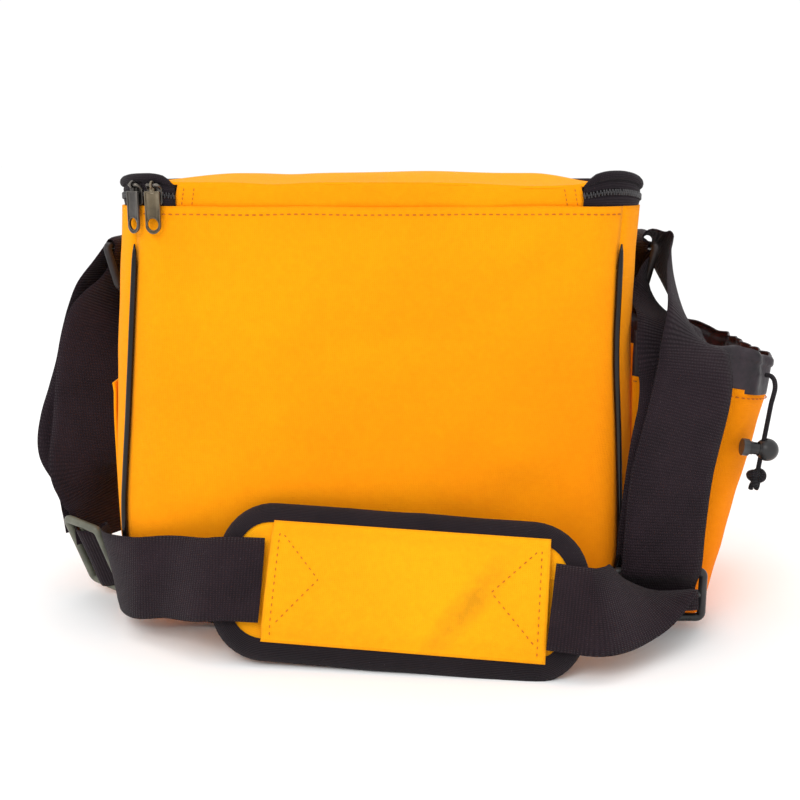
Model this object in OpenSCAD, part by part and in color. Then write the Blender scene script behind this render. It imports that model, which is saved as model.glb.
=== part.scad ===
// Padded zip-top shoulder bag with a drawstring bottle pocket and a webbing shoulder strap.
// The origin is the middle of the bag's underside; +X runs along the wide faces, +Z is up,
// and the lid's fabric hinge is on the -Y face.

/* [Bag body] */
// Width of the bag across the wide face
body_w = 310; // [290:1:330]
// Depth of the bag from face to face
body_d = 180; // [170:1:200]
// Height of the canvas body up to its top edge
body_h = 264; // [250:1:280]
// Radius of the upright corners, seen from above
corner_r = 30; // [28:1:34]
// Radius of the rounded lower corners, seen from the face
low_corner_r = 52; // [46:1:60]
// Distance of the piped seam from the side of the bag
seam_inset = 10; // [8:1:12]
// Thickness of the canvas
canvas_t = 1.5; // [1.2:0.1:1.6]
// Thickness of the foam in the walls
foam_t = 5; // [3:0.5:6]
// Diameter of the corded piping
piping_d = 3.5; // [3:0.5:4]

/* [Lid and zip] */
// Height of the band between the body's top edge and the top of the lid
zip_band_h = 14; // [14:0.5:16]
// Width of the fabric hinge strip
hinge_strip_w = 236; // [200:1:240]
// Length of a pull tab below its pivot
pull_len = 28; // [22:1:30]
// Width of a pull tab
pull_w = 9.4; // [8:0.2:10]

/* [Bottle pocket] */
// Depth of the pocket along the side of the bag
pocket_d = 140; // [120:2:144]
// Reach of the pocket's foot from the side of the bag
pocket_foot = 60; // [50:1:64]
// Reach of the pocket's mouth from the side of the bag
pocket_mouth = 95; // [80:1:98]
// Height of the canvas rim at the bag
pocket_h = 158; // [150:1:164]
// Height of the nylon collar
collar_h = 24; // [18:1:28]

/* [Shoulder strap] */
// Width of the webbing
webbing_w = 50; // [50:1:50]
// Thickness of the webbing
webbing_t = 1.8; // [1.4:0.1:2]
// Length of the shoulder pad
pad_len = 224; // [210:1:230]
// Width of the shoulder pad
pad_w = 94; // [94:1:102]
// Thickness of the shoulder pad
pad_t = 8; // [6:0.5:9]

/* [Hidden] */
$fn = 64;
orange = [1, 0.62, 0.05];
black = [0.14, 0.11, 0.12];
half_w = body_w / 2;
half_d = body_d / 2;
fit = 0.1;
big = 600;
lining_t = 0.8;
lining_inset = canvas_t + foam_t + 2 * fit;
inner_inset = lining_inset + lining_t;
foam_top = body_h - 8;
corner_x = half_w - corner_r;
corner_y = half_d - corner_r;

// zip band
lid_t = 1.6;
lid_z = body_h + zip_band_h - lid_t;
teeth_z = body_h + 6;
tape_in = canvas_t + fit;
tape_t = 1;
tape_gap = 2.8;
teeth_gap = 0.3;
lid_edge = 1;
lid_core_inset = 8;
hinge_z = lid_z + lid_t / 2;
hinge_y = -(half_d - 0.5);
zip_start = hinge_strip_w / 2;

// sliders: two stand side by side on the left front corner
slider_angles = [13.5, 38];
slider_span = 19;
slider_low = body_h + 0.6;
slider_h = 10.8;
plate_out = corner_r - 1.1;
plate_in = corner_r - 4.4;
plate_t = 1.3;
pivot_r = plate_out + plate_t + 3;
pivot_z = teeth_z + 6.5;
pivot_pin_r = 0.9;
pull_t = 1.8;

// bottle pocket
rim_drop = 16;
rim_angle = atan(rim_drop / pocket_mouth);
foot_r = 20;
mouth_r = 26;
pocket_t = 1.6;

// cord and cord lock: the cord hangs straight through the lock and ends in a knot
cord_d = 3;
cord_route = [[243, -62.5, 158], [245, -66, 158], [246, -70, 156], [245.5, -74, 152],
    [244, -76, 147], [243, -76, 142], [242, -76, 134], [241, -76, 126], [240, -76, 118],
    [239, -76, 110], [238, -76, 102], [237.5, -76, 98]];
cord_tilt = atan(1 / 8);
lock_at = [239.4, -76, 113.2];
knot_at = [236.9, -76, 93];
knot_r = 5.2;
ball_r = 7.2;
ball_shift = 3;
cord_hole_r = 2.4;
button_travel = 4;

// side rings
ring_w = 64;
ring_len = 32;
ring_bar = 5;
ring_yaw = 12;
ring_lean = 15;
ring_at = [165, 0, 210];

// shoulder pad: it leans back on the bag with its lower edge on the ground
pad_at = [11, -132.8, 45];
pad_lean = 28;
pad_yaw = -6;
pad_roll = 1;
pad_end_r = 34;
sleeve_from = -78;
sleeve_to = 88;
sleeve_t = 0.8;

// webbing runs: each station is [centre, direction across the webbing]
front_left = [[[-203.3, -29.9, 34.2], [0.18, 0.37, -0.91]],
    [[-199.2, -37.6, 31.8], [0.18, 0.37, -0.91]], [[-195, -45.3, 29.5], [0.18, 0.37, -0.91]],
    [[-186.2, -46.8, 30.6], [0.18, 0.37, -0.91]], [[-176.8, -48, 31.9], [0.18, 0.37, -0.91]],
    [[-164, -70, 34], [0.12, 0.1, -0.98]], [[-150, -90, 38], [0.05, -0.2, -0.96]],
    [[-130, -111, 42], [0, -0.4, -0.92]], [[-108, -125, 45.5], [-0.03, -0.45, -0.89]],
    [[-92, -128.8, 47.6], [-0.05, -0.47, -0.88]], [[-70, -131.1, 47.6], [-0.05, -0.47, -0.88]]];
front_right = [[[99, -152.9, 40.1], [-0.05, -0.47, -0.88]],
    [[112, -155, 39], [-0.03, -0.47, -0.88]], [[126, -156.5, 38], [0, -0.48, -0.88]],
    [[139, -148, 37], [0.1, -0.55, -0.83]], [[151, -133, 36], [0.4, -0.6, -0.7]],
    [[161, -118, 34], [0.8, -0.5, -0.35]], [[168, -108, 31], [0.97, -0.2, -0.1]],
    [[172, -101.5, 26], [1, 0, 0]], [[174, -97, 18], [1, 0, 0]], [[175, -93.5, 13.5], [1, 0, 0]],
    [[175, -88, 12.5], [1, 0, 0]]];
outer_left = [[[-198, -17.5, 64], [-0.5, -0.87, 0]], [[-200, -19.5, 76], [-0.7, -0.7, 0]],
    [[-201, -21, 90], [-0.9, -0.44, 0]], [[-198, -18, 113], [-0.96, -0.28, 0]],
    [[-196, -13, 140], [-0.96, -0.28, 0]], [[-193, -9, 165], [-0.93, -0.37, 0]],
    [[-188, -6, 184], [-0.82, -0.57, 0]], [[-183, -4, 197], [-0.6, -0.8, 0]],
    [[-177, -2, 210], [-0.3, -0.95, 0]], [[-171, 0, 224], [-0.21, -0.98, 0]],
    [[-167.9, 0.7, 236.5], [-0.21, -0.98, 0]]];
inner_left = [[[-203.5, -14, 55], [-0.3, -0.65, -0.7]], [[-208, -6, 73], [-0.55, -0.83, 0]],
    [[-216, 4, 93], [-0.88, -0.45, 0]], [[-215, 9, 110], [-0.97, -0.25, 0]],
    [[-210, 13, 128], [-1, -0.1, 0]], [[-203, 15, 150], [-0.98, -0.2, 0]],
    [[-198, 14, 172], [-0.9, -0.43, 0]], [[-194, 11, 190], [-0.78, -0.63, 0]],
    [[-189, 7, 208], [-0.6, -0.8, 0]], [[-181, 4, 224], [-0.4, -0.92, 0]],
    [[-175.7, 2.3, 236.5], [-0.21, -0.98, 0]]];
outer_right = [[[175, -85.6, 22], [1, 0, 0]], [[175, -86.2, 25.5], [1, 0, 0]],
    [[175, -90, 31], [1, 0, 0]], [[175, -94.9, 37], [1, 0, 0]], [[175.5, -96.5, 46], [1, 0, 0]],
    [[176, -97, 66], [1, 0, 0]], [[178, -98, 100], [1, 0, 0]], [[183, -97, 125], [1, 0.1, 0]],
    [[189, -92, 146], [0.99, 0.15, 0]], [[191.2, -91, 163.5], [0.97, 0.25, 0]],
    [[189.8, -85, 180], [0.85, 0.52, 0]], [[187, -56, 196], [0.55, 0.83, 0]],
    [[189, -22, 210], [0.1, 0.99, 0]], [[182, -5, 226], [-0.2, 0.98, 0]],
    [[176.1, 2.2, 236.5], [-0.21, 0.98, 0]]];
inner_right = [[[174.5, -82.3, 27], [1, 0, 0]], [[174, -84, 42], [1, 0, 0]],
    [[174, -87, 62], [1, 0, 0]], [[176, -89, 92], [1, 0, 0]], [[179, -88, 118], [1, 0, 0]],
    [[183, -84, 138], [1, 0.05, 0]], [[184.2, -80, 157], [1, 0.05, 0]],
    [[181, -78, 175.5], [0.97, 0.2, 0]], [[180.5, -62, 190.5], [0.7, 0.7, 0]],
    [[178.5, -34, 200], [0.2, 0.98, 0]], [[174.5, -12, 210], [-0.2, 0.98, 0]],
    [[172.8, -4, 218], [-0.2, 0.98, 0]], [[170.1, 0, 226], [-0.2, 0.98, 0]],
    [[167.9, 0.7, 236.5], [-0.21, 0.98, 0]]];
run_steps = 4;

// ---- functions ----
function lerp(a, b, t) = a + (b - a) * t;
function unit(v) = v / norm(v);
// points of an arc from angle a to angle b
function arc(cx, cy, r, a, b, n = 12) =
    [for (i = [0:n]) [cx + r * cos(lerp(a, b, i / n)), cy + r * sin(lerp(a, b, i / n))]];
// outline of the bag seen from the face: straight sides and round lower corners
function face_outline(inset, top) = let (w = half_w - inset, r = low_corner_r - inset)
    concat([[-w, top]], arc(-w + r, inset + r, r, 180, 270), arc(w - r, inset + r, r, 270, 360),
        [[w, top]]);
// outline of one long seam
function seam_outline(top) = let (w = half_w - seam_inset, r = low_corner_r - seam_inset + 4)
    concat([for (i = [0:8]) [-w, lerp(top, 4 + r, i / 8)]], arc(-w + r, 4 + r, r, 184, 270, 10),
        arc(w - r, 4 + r, r, 270, 356, 10), [for (i = [8:-1:0]) [w, lerp(top, 4 + r, i / 8)]]);
// place of a seam point on the outside of the rounded body, raised by lift
function on_face(p, lift) = let (over = max(abs(p[0]) - corner_x, 0), a = asin(over / corner_r))
    [sign(p[0]) * (min(abs(p[0]), corner_x) + (over > 0 ? (corner_r + lift) * sin(a) : 0)),
        -corner_y - (corner_r + lift) * cos(a), p[1]];
// smooth curve through stations
function smooth_at(q, i, t) = let (n = len(q) - 1, a = q[max(i - 1, 0)], b = q[i],
    c = q[min(i + 1, n)], d = q[min(i + 2, n)])
    0.5 * (2 * b + (c - a) * t + (2 * a - 5 * b + 4 * c - d) * t * t
        + (3 * b - a - 3 * c + d) * t * t * t);
function smooth(q, steps) = concat([for (i = [0:len(q) - 2], k = [0:steps - 1])
    smooth_at(q, i, k / steps)], [q[len(q) - 1]]);
function heading(q, i) = unit(q[min(i + 1, len(q) - 1)] - q[max(i - 1, 0)]);
function side_of(t) = unit(cross(t, abs(t[2]) < 0.9 ? [0, 0, 1] : [1, 0, 0]));

// ---- shared shapes ----
// skin of a row of rings that all have the same number of points
module skin(rings) {
    n = len(rings);
    m = len(rings[0]);
    points = [for (ring = rings, p = ring) p];
    walls = [for (i = [0:n - 2], j = [0:m - 1]) let (k = (j + 1) % m)
        each [[i * m + j, i * m + k, (i + 1) * m + k], [i * m + j, (i + 1) * m + k, (i + 1) * m + j]]];
    ends = [[for (j = [m - 1:-1:0]) j], [for (j = [0:m - 1]) (n - 1) * m + j]];
    polyhedron(points, concat(walls, ends));
}

// round cord along a list of points
module tube(route, d, sides = 8) {
    skin([for (i = [0:len(route) - 1]) let (t = heading(route, i), u = side_of(t), v = cross(u, t))
        [for (j = [0:sides - 1]) let (a = 360 * j / sides)
            route[i] + d / 2 * (cos(a) * u - sin(a) * v)]]);
}

// flat webbing through its stations
module webbing(stations) {
    centres = smooth([for (s = stations) s[0]], run_steps);
    across = smooth([for (s = stations) unit(s[1])], run_steps);
    skin([for (i = [0:len(centres) - 1]) let (t = heading(centres, i),
        n = unit(cross(t, across[i])), w = unit(cross(n, t)))
        [for (c = [[-1, -1], [1, -1], [1, 1], [-1, 1]])
            centres[i] + c[0] * webbing_w / 2 * w + c[1] * webbing_t / 2 * n]]);
}

// rounded rectangle seen from above, inset from the bag's outline
module plan(inset) {
    w = half_w - inset;
    d = half_d - inset;
    r = corner_r - inset;
    square([2 * w, 2 * (d - r)], center = true);
    square([2 * (w - r), 2 * d], center = true);
    for (sx = [-1, 1], sy = [-1, 1]) translate([sx * (w - r), sy * (d - r)]) circle(r);
}

module plan_ring(inset, t, low, high) {
    translate([0, 0, low]) linear_extrude(high - low) difference() {
        plan(inset);
        plan(inset + t);
    }
}

// solid of the whole bag body, inset on every side but the top
module body_block(inset, top) {
    intersection() {
        linear_extrude(top) plan(inset);
        translate([0, big / 2, 0]) rotate([90, 0, 0]) linear_extrude(big)
            polygon(face_outline(inset, top));
    }
}

module shell(inset, t, top) {
    difference() {
        body_block(inset, top);
        body_block(inset + t, top + 1);
    }
}

// everything inside the long seam, on the hinge side
module face_zone() {
    translate([0, -corner_y, 0]) rotate([90, 0, 0]) linear_extrude(big)
        polygon(seam_outline(body_h + 1));
}

module beyond(y) {
    translate([-big / 2, y, -big / 2]) cube([big, big, big]);
}

module at_slider(i) {
    translate([-corner_x, -corner_y, 0]) rotate([0, 0, -slider_angles[i]]) children();
}

// ---- bag body ----
module hinge_side_panel() {
    color(orange) intersection() {
        shell(0, canvas_t, body_h);
        face_zone();
    }
}

module zip_side_panel() {
    mirror([0, 1, 0]) hinge_side_panel();
}

module gusset() {
    color(orange) difference() {
        shell(0, canvas_t, body_h);
        face_zone();
        mirror([0, 1, 0]) face_zone();
    }
}

module front_piping() {
    color(black) tube([for (p = seam_outline(body_h - 22)) on_face(p, piping_d / 2 + fit)],
        piping_d);
}

module back_piping() {
    mirror([0, 1, 0]) front_piping();
}

module wall_foam() {
    color("gainsboro") shell(canvas_t + fit, foam_t, foam_top);
}

module lining() {
    color("silver") shell(lining_inset, lining_t, foam_top);
}

module base_board() {
    board = [body_w - 2 * low_corner_r, body_d - 20, 2.4];
    color("dimgray") translate([-board[0] / 2, -board[1] / 2, inner_inset + fit]) cube(board);
}

module hinge_strip() {
    low = foam_top;
    color(orange) translate([-zip_start, -half_d + canvas_t + fit, low])
        cube([hinge_strip_w, 1.2, lid_z - 0.3 - low]);
}

// ---- zip ----
module lower_zip_tape() {
    color(black) intersection() {
        plan_ring(tape_in, tape_t, foam_top, teeth_z - tape_gap / 2);
        beyond(-corner_y + 0.2);
    }
}

module upper_zip_tape() {
    color(black) intersection() {
        plan_ring(tape_in, tape_t, teeth_z + tape_gap / 2, lid_z);
        beyond(-corner_y + 0.4);
    }
}

module lower_zip_teeth() {
    color("dimgray") intersection() {
        plan_ring(tape_in - 0.7, 2.4, teeth_z - tape_gap / 2 + 0.05, teeth_z - teeth_gap / 2);
        beyond(-corner_y + 0.2);
    }
}

module upper_zip_teeth() {
    color("dimgray") intersection() {
        plan_ring(tape_in - 0.7, 2.4, teeth_z + teeth_gap / 2, teeth_z + tape_gap / 2 - 0.05);
        beyond(-corner_y + 0.4);
    }
}

// the two tapes of one zip corner, from the hinge strip to the side of the bag
module zip_corner(right) {
    lower = [foam_top, teeth_z - tape_gap / 2];
    upper = [teeth_z + tape_gap / 2, lid_z - 0.3];
    color(black) for (band = [lower, upper]) intersection() {
        plan_ring(tape_in, tape_t, band[0], band[1]);
        translate([right ? zip_start + 6 : -big - zip_start - 6, -big - corner_y, 0])
            cube([big, big, big]);
    }
}

module zip_corner_left() {
    zip_corner(false);
}

// folded and sewn end of the zip beside the hinge strip
module zip_end(side) {
    color(black) translate([side * (zip_start + 3) - 2.9, -half_d + canvas_t + fit, foam_top])
        cube([5.8, 1.2, lid_z - 0.3 - foam_top]);
}

module zip_end_left() {
    zip_end(-1);
}

module zip_end_right() {
    zip_end(1);
    zip_corner(true);
}

// arc-shaped plate round the corner's upright axis
module corner_plate(r, t, low, h, span) {
    rotate([0, 0, -90 - span / 2]) rotate_extrude(angle = span) translate([r, low]) square([t, h]);
}

module slider(i) {
    color("dimgray") at_slider(i) {
        corner_plate(plate_out, plate_t, slider_low, slider_h, slider_span);
        corner_plate(plate_in, plate_t, slider_low, slider_h, slider_span);
        corner_plate(plate_in + plate_t - fit, plate_out - plate_in - plate_t + 2 * fit,
            teeth_z - 0.8, 1.6, slider_span / 4);
        // the bridge that carries the pull tab
        for (x = [-3.4, 3.4]) translate([x - 0.7, -pivot_r - pivot_pin_r, pivot_z - 2.2])
            cube([1.4, pivot_r + pivot_pin_r - plate_out - plate_t / 2, 2.2 + pivot_pin_r]);
        translate([-3.4, -pivot_r, pivot_z]) rotate([0, 90, 0]) cylinder(r = pivot_pin_r, h = 6.8);
    }
}

module slider_a() {
    slider(0);
}

module slider_b() {
    slider(1);
}

// flat pull tab with a round opening, hung on the slider's bridge
module pull(i) {
    eye_r = 2.4;
    end_z = pivot_z - pull_len + pull_w / 2;
    color([0.33, 0.3, 0.27]) at_slider(i) translate([0, -pivot_r, 0]) difference() {
        union() {
            translate([-1.5, 0, pivot_z]) rotate([0, 90, 0]) cylinder(r = eye_r, h = 3);
            translate([-1.5, -pull_t / 2, pivot_z - 7]) cube([3, pull_t, 6]);
            translate([0, pull_t / 2, 0]) rotate([90, 0, 0]) linear_extrude(pull_t) {
                translate([0, end_z]) circle(pull_w / 2);
                translate([-pull_w / 2, end_z]) square([pull_w, pivot_z - 3.4 - end_z]);
            }
        }
        translate([-2, 0, pivot_z]) rotate([0, 90, 0]) cylinder(r = pivot_pin_r + 0.3, h = 4);
        translate([0, 5, end_z]) rotate([90, 0, 0]) cylinder(r = 2.9, h = 10);
        translate([-pull_w / 2 + 1.5, -pull_t / 2 - 1, end_z + 6])
            cube([pull_w - 3, 1.5, pivot_z - 9 - end_z - 6]);
    }
}

module pull_a() {
    pull(0);
}

module pull_b() {
    pull(1);
}

// ---- lid ----
module lid_panel() {
    color(orange) translate([0, 0, lid_z]) linear_extrude(lid_t) plan(lid_edge);
}

module lid_foam() {
    color("gainsboro") translate([0, 0, lid_z - 4.4]) linear_extrude(4.3) plan(lid_core_inset);
}

module lid_lining() {
    color("silver") translate([0, 0, lid_z - 5.3]) linear_extrude(lining_t) plan(lid_core_inset);
}

module lid_binding() {
    color(black) intersection() {
        plan_ring(0, tape_in - fit, lid_z - 3.4, lid_z - fit);
        beyond(-corner_y + 0.4);
    }
}

// ---- pockets ----
// skin laid on the outside of one side of the bag
module side_skin(t, low, high, width) {
    intersection() {
        difference() {
            body_side(-fit - t);
            body_side(-fit);
        }
        translate([-big, -width / 2, low]) cube([big, width, high - low]);
    }
}

module body_side(inset) {
    translate([0, big / 2, 0]) rotate([90, 0, 0]) linear_extrude(big)
        polygon(face_outline(inset, body_h));
}

module slip_pocket() {
    color(orange) side_skin(1.3, 6, 150, 112);
}

module slip_pocket_hem() {
    color(orange) side_skin(2.2, 150 + fit, 155, 112);
}

// half-space above the pocket's sloping rim, raised by lift
module above_rim(lift) {
    translate([half_w, 0, pocket_h + lift]) rotate([0, rim_angle, 0])
        translate([-big / 2, -big / 2, 0]) cube(big);
}

// tapered pocket volume from the ground to well above the rim
module pocket_block(inset, low, high) {
    foot_x = half_w + pocket_foot;
    mouth_x = half_w + pocket_mouth;
    top_x = lerp(foot_x, mouth_x, high / pocket_h);
    low_x = lerp(foot_x, mouth_x, low / pocket_h);
    hull() for (slab = [[low_x, low, foot_r], [top_x, high, mouth_r]])
        translate([0, 0, slab[1]]) linear_extrude(0.2) {
            for (s = [-1, 1]) translate([slab[0] - slab[2], s * (pocket_d / 2 - slab[2])])
                circle(slab[2] - inset, $fn = 32);
            translate([half_w - low_corner_r, -pocket_d / 2 + inset])
                square([10, pocket_d - 2 * inset]);
        }
}

module off_body() {
    linear_extrude(big) plan(-fit);
}

module bottle_pocket() {
    color(orange) difference() {
        pocket_block(0, 0, 170);
        pocket_block(pocket_t, -1, 180);
        above_rim(0);
        body_side(-fit);
        body_side_floor();
    }
}

// the strip under the round corner, where the pocket's wall ends at the bag
module body_side_floor() {
    translate([0, -big / 2, -1]) cube([half_w - low_corner_r + 12, big, big]);
}

module bottle_pocket_base() {
    color(orange) difference() {
        intersection() {
            pocket_block(pocket_t + fit, 0.1, 170);
            cube([big, big, 2 * canvas_t], center = true);
        }
        body_side(-fit);
        body_side_floor();
    }
}

module pocket_collar() {
    color(black) difference() {
        pocket_block(0, 0, 200);
        pocket_block(1.2, -1, 210);
        above_rim(collar_h);
        translate([half_w, 0, pocket_h + fit]) rotate([0, rim_angle, 0])
            translate([-big / 2, -big / 2, -big]) cube(big);
        body_side(-fit);
        translate([0, 0, body_h / 2]) off_body();
    }
}

// ---- drawcord and cord lock ----
module drawcord() {
    color(black) tube(cord_route, cord_d);
}

module cord_knot() {
    color(black) translate(knot_at) sphere(knot_r);
}

module at_lock() {
    translate(lock_at) rotate([0, cord_tilt, 0]) children();
}

module lock_axis(from, to, r) {
    translate([from, 0, 0]) rotate([0, 90, 0]) cylinder(r = r, h = to - from);
}

module cord_lock_body() {
    color(black) at_lock() difference() {
        translate([ball_shift, 0, 0]) sphere(ball_r);
        lock_axis(-12, 8.6, 4.6);
        translate([0, 0, -10]) cylinder(r = cord_hole_r, h = 20);
    }
}

module cord_lock_button() {
    color(black) at_lock() difference() {
        union() {
            lock_axis(-13, -8.2, 4.2);
            lock_axis(-13, -9, 5.4);
            lock_axis(-9, 3.2, 4.2);
        }
        translate([-cord_hole_r - button_travel, -cord_hole_r, -10])
            cube([2 * cord_hole_r + button_travel, 2 * cord_hole_r, 20]);
    }
}

module cord_lock_spring() {
    color("silver") at_lock() difference() {
        lock_axis(7.5, 8.5, 3.6);
        lock_axis(7, 9, 2.6);
    }
}

// ---- rings and adjusters ----
// ring of round bar: two long sides, two short ones and rounded corners.
module bar_frame(long, short, bar) {
    for (s = [-1, 1]) {
        translate([s * (short - bar) / 2, 0, 0]) rotate([90, 0, 0])
            cylinder(d = bar, h = long - bar, center = true);
        translate([0, s * (long - bar) / 2, 0]) rotate([0, 90, 0])
            cylinder(d = bar, h = short - bar, center = true);
        for (u = [-1, 1]) translate([s * (short - bar) / 2, u * (long - bar) / 2, 0])
            sphere(d = bar);
    }
}

module at_ring() {
    translate(ring_at) rotate([0, 0, ring_yaw]) children();
}

module ring_right() {
    color("dimgray") at_ring() rotate([0, -90 + ring_lean, 0])
        translate([(ring_len - ring_bar) / 2, 0, 0]) bar_frame(ring_w, ring_len, ring_bar);
}

module ring_tab_right() {
    color(black) {
        translate([half_w + fit, -24, ring_at[2] - 26]) cube([2.4, 48, 20]);
        difference() {
            at_ring() {
                rotate([90, 0, 0]) cylinder(r = 4.6, h = 46, center = true);
                translate([-9, -23, -14]) cube([6, 46, 12]);
            }
            at_ring() rotate([90, 0, 0]) cylinder(r = ring_bar / 2 + 0.3, h = 60, center = true);
            translate([0, -50, 100]) cube([half_w + fit, 100, 150]);
        }
    }
}

module ring_left() {
    mirror([1, 0, 0]) ring_right();
}

module ring_tab_left() {
    mirror([1, 0, 0]) ring_tab_right();
}

// flat moulded adjuster: two slots either side of a middle bar.
module triglide(long, short, bar) {
    linear_extrude(bar, center = true) difference() {
        hull() for (x = [-1, 1], y = [-1, 1])
            translate([x * (short / 2 - bar), y * (long / 2 - bar)]) circle(r = bar);
        for (s = [-1, 1]) translate([s * short / 4 - s * bar / 4, 0])
            square([short / 2 - 1.5 * bar, long - 2 * bar], center = true);
    }
}

module triglide_left() {
    color([0.4, 0.4, 0.32]) translate([-192.7, -42.2, 31.2]) rotate([114.3, 4.6, -35.6])
        triglide(60, 36, 4);
}

module triglide_right() {
    color(black) translate([175, -90, 22]) rotate([0, 0, -90]) rotate([0, 90, 0])
        triglide(62, 36, 4.4);
}

// ---- shoulder strap ----
module strap_front_left() {
    color(black) webbing(front_left);
}

module strap_outer_left() {
    color(black) webbing(outer_left);
}

module strap_inner_left() {
    color(black) webbing(inner_left);
}

module strap_front_right() {
    color(black) webbing(front_right);
}

module strap_outer_right() {
    color(black) webbing(outer_right);
}

module strap_inner_right() {
    color(black) webbing(inner_right);
}

module at_pad() {
    translate(pad_at) rotate([0, 0, pad_yaw]) rotate([-pad_lean, 0, 0])
        rotate([0, pad_roll, 0]) children();
}

// pad outline with round corners, standing on its long edge
module pad_plate(inset, t, from) {
    l = pad_len / 2 - inset;
    h = pad_w / 2 - inset;
    r = pad_end_r - inset;
    translate([0, from + t, 0]) rotate([90, 0, 0]) linear_extrude(t) {
        square([2 * l, 2 * (h - r)], center = true);
        square([2 * (l - r), 2 * h], center = true);
        for (sx = [-1, 1], sz = [-1, 1]) translate([sx * (l - r), sz * (h - r)]) circle(r);
    }
}

module shoulder_pad() {
    color(orange) at_pad() difference() {
        pad_plate(3 + fit, pad_t, -pad_t / 2);
        pad_plate(6, pad_t - 2.4, -pad_t / 2 + 1.2);
    }
}

module pad_foam() {
    color("gainsboro") at_pad() pad_plate(6 + fit, pad_t - 2.6, -pad_t / 2 + 1.3);
}

module pad_binding() {
    color(black) at_pad() difference() {
        pad_plate(0, pad_t, -pad_t / 2);
        pad_plate(3, pad_t + 2, -pad_t / 2 - 1);
    }
}

module pad_sleeve() {
    front = -pad_t / 2 - webbing_t - sleeve_t - 0.6;
    color(orange) at_pad() translate([sleeve_from, front, -pad_w / 2 + 10])
        cube([sleeve_to - sleeve_from, sleeve_t, pad_w - 20]);
}

hinge_side_panel();
zip_side_panel();
gusset();
front_piping();
back_piping();
wall_foam();
base_board();
lining();
hinge_strip();
lower_zip_tape();
lower_zip_teeth();
zip_corner_left();
zip_end_left();
zip_end_right();
slip_pocket();
slip_pocket_hem();
bottle_pocket();
bottle_pocket_base();
pocket_collar();
drawcord();
cord_knot();
cord_lock_body();
cord_lock_button();
cord_lock_spring();
ring_tab_left();
ring_left();
ring_tab_right();
ring_right();
strap_front_left();
strap_outer_left();
strap_inner_left();
triglide_left();
strap_front_right();
strap_outer_right();
strap_inner_right();
triglide_right();
shoulder_pad();
pad_foam();
pad_binding();
pad_sleeve();
lid_panel();
lid_foam();
lid_lining();
lid_binding();
upper_zip_tape();
upper_zip_teeth();
slider_a();
slider_b();
pull_a();
pull_b();
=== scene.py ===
import math

import bpy
from mathutils import Euler, Matrix, Vector, noise


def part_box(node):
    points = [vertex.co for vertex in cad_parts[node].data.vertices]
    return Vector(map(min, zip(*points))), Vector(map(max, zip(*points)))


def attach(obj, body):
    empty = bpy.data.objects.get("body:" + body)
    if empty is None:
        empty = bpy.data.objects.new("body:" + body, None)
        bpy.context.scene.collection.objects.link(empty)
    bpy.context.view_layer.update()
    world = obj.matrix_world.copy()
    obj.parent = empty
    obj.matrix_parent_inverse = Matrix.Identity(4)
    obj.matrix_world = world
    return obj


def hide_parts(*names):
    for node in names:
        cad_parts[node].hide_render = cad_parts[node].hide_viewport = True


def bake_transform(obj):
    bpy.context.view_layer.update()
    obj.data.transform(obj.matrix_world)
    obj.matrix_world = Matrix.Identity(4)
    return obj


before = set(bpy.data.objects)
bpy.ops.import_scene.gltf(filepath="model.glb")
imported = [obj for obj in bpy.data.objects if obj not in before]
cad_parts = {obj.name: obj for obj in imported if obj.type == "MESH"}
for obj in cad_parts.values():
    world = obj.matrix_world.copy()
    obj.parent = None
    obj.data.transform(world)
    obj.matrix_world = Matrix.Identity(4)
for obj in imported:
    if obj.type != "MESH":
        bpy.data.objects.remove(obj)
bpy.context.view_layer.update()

MM = 0.001
LEFT, RIGHT = False, True
WAVE_TURN = 3.1416  # a wave texture of scale 1 / pitch / WAVE_TURN has about one band per pitch
CAMERA_AT = (0.012, -0.757, 0.292)
CAMERA_PITCH = 12.2  # degrees below level
LENS = 50.4
FLOOR_Z = -0.3
FLOOR_REACH = 40000.0


# ---------------------------------------------------------------- sizes from the CAD frame (mm)
def cad_box(node):
    low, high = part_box(node)
    return low / MM, high / MM


body_low, body_high = cad_box("gusset")
HALF_W = body_high.x
HALF_D = body_high.y
BODY_H = body_high.z
CORNER_R = 30.0
CORNER_X = HALF_W - CORNER_R
CORNER_Y = HALF_D - CORNER_R
LOW_R = 52.0
SEAM_IN = HALF_W - cad_box("hinge_side_panel")[1].x
SEAM_W = HALF_W - SEAM_IN
SEAM_R = LOW_R - SEAM_IN + 4
LID_TOP = cad_box("lid_panel")[1].z
TEETH_Z = BODY_H + 6
STRIP_HALF = cad_box("hinge_strip")[1].x
PAD_AT = Vector((11, -132.8, 41.5))
PAD_TURN = (Matrix.Rotation(math.radians(-6), 3, "Z") @ Matrix.Rotation(math.radians(-28), 3, "X")
            @ Matrix.Rotation(math.radians(2), 3, "Y"))
PAD_LEN = 224.0
PAD_W = 94.0
PAD_T = 8.0
SLEEVE = (-78.0, 88.0)
WEBBING_W = 50.0
WEBBING_T = 1.8

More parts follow.
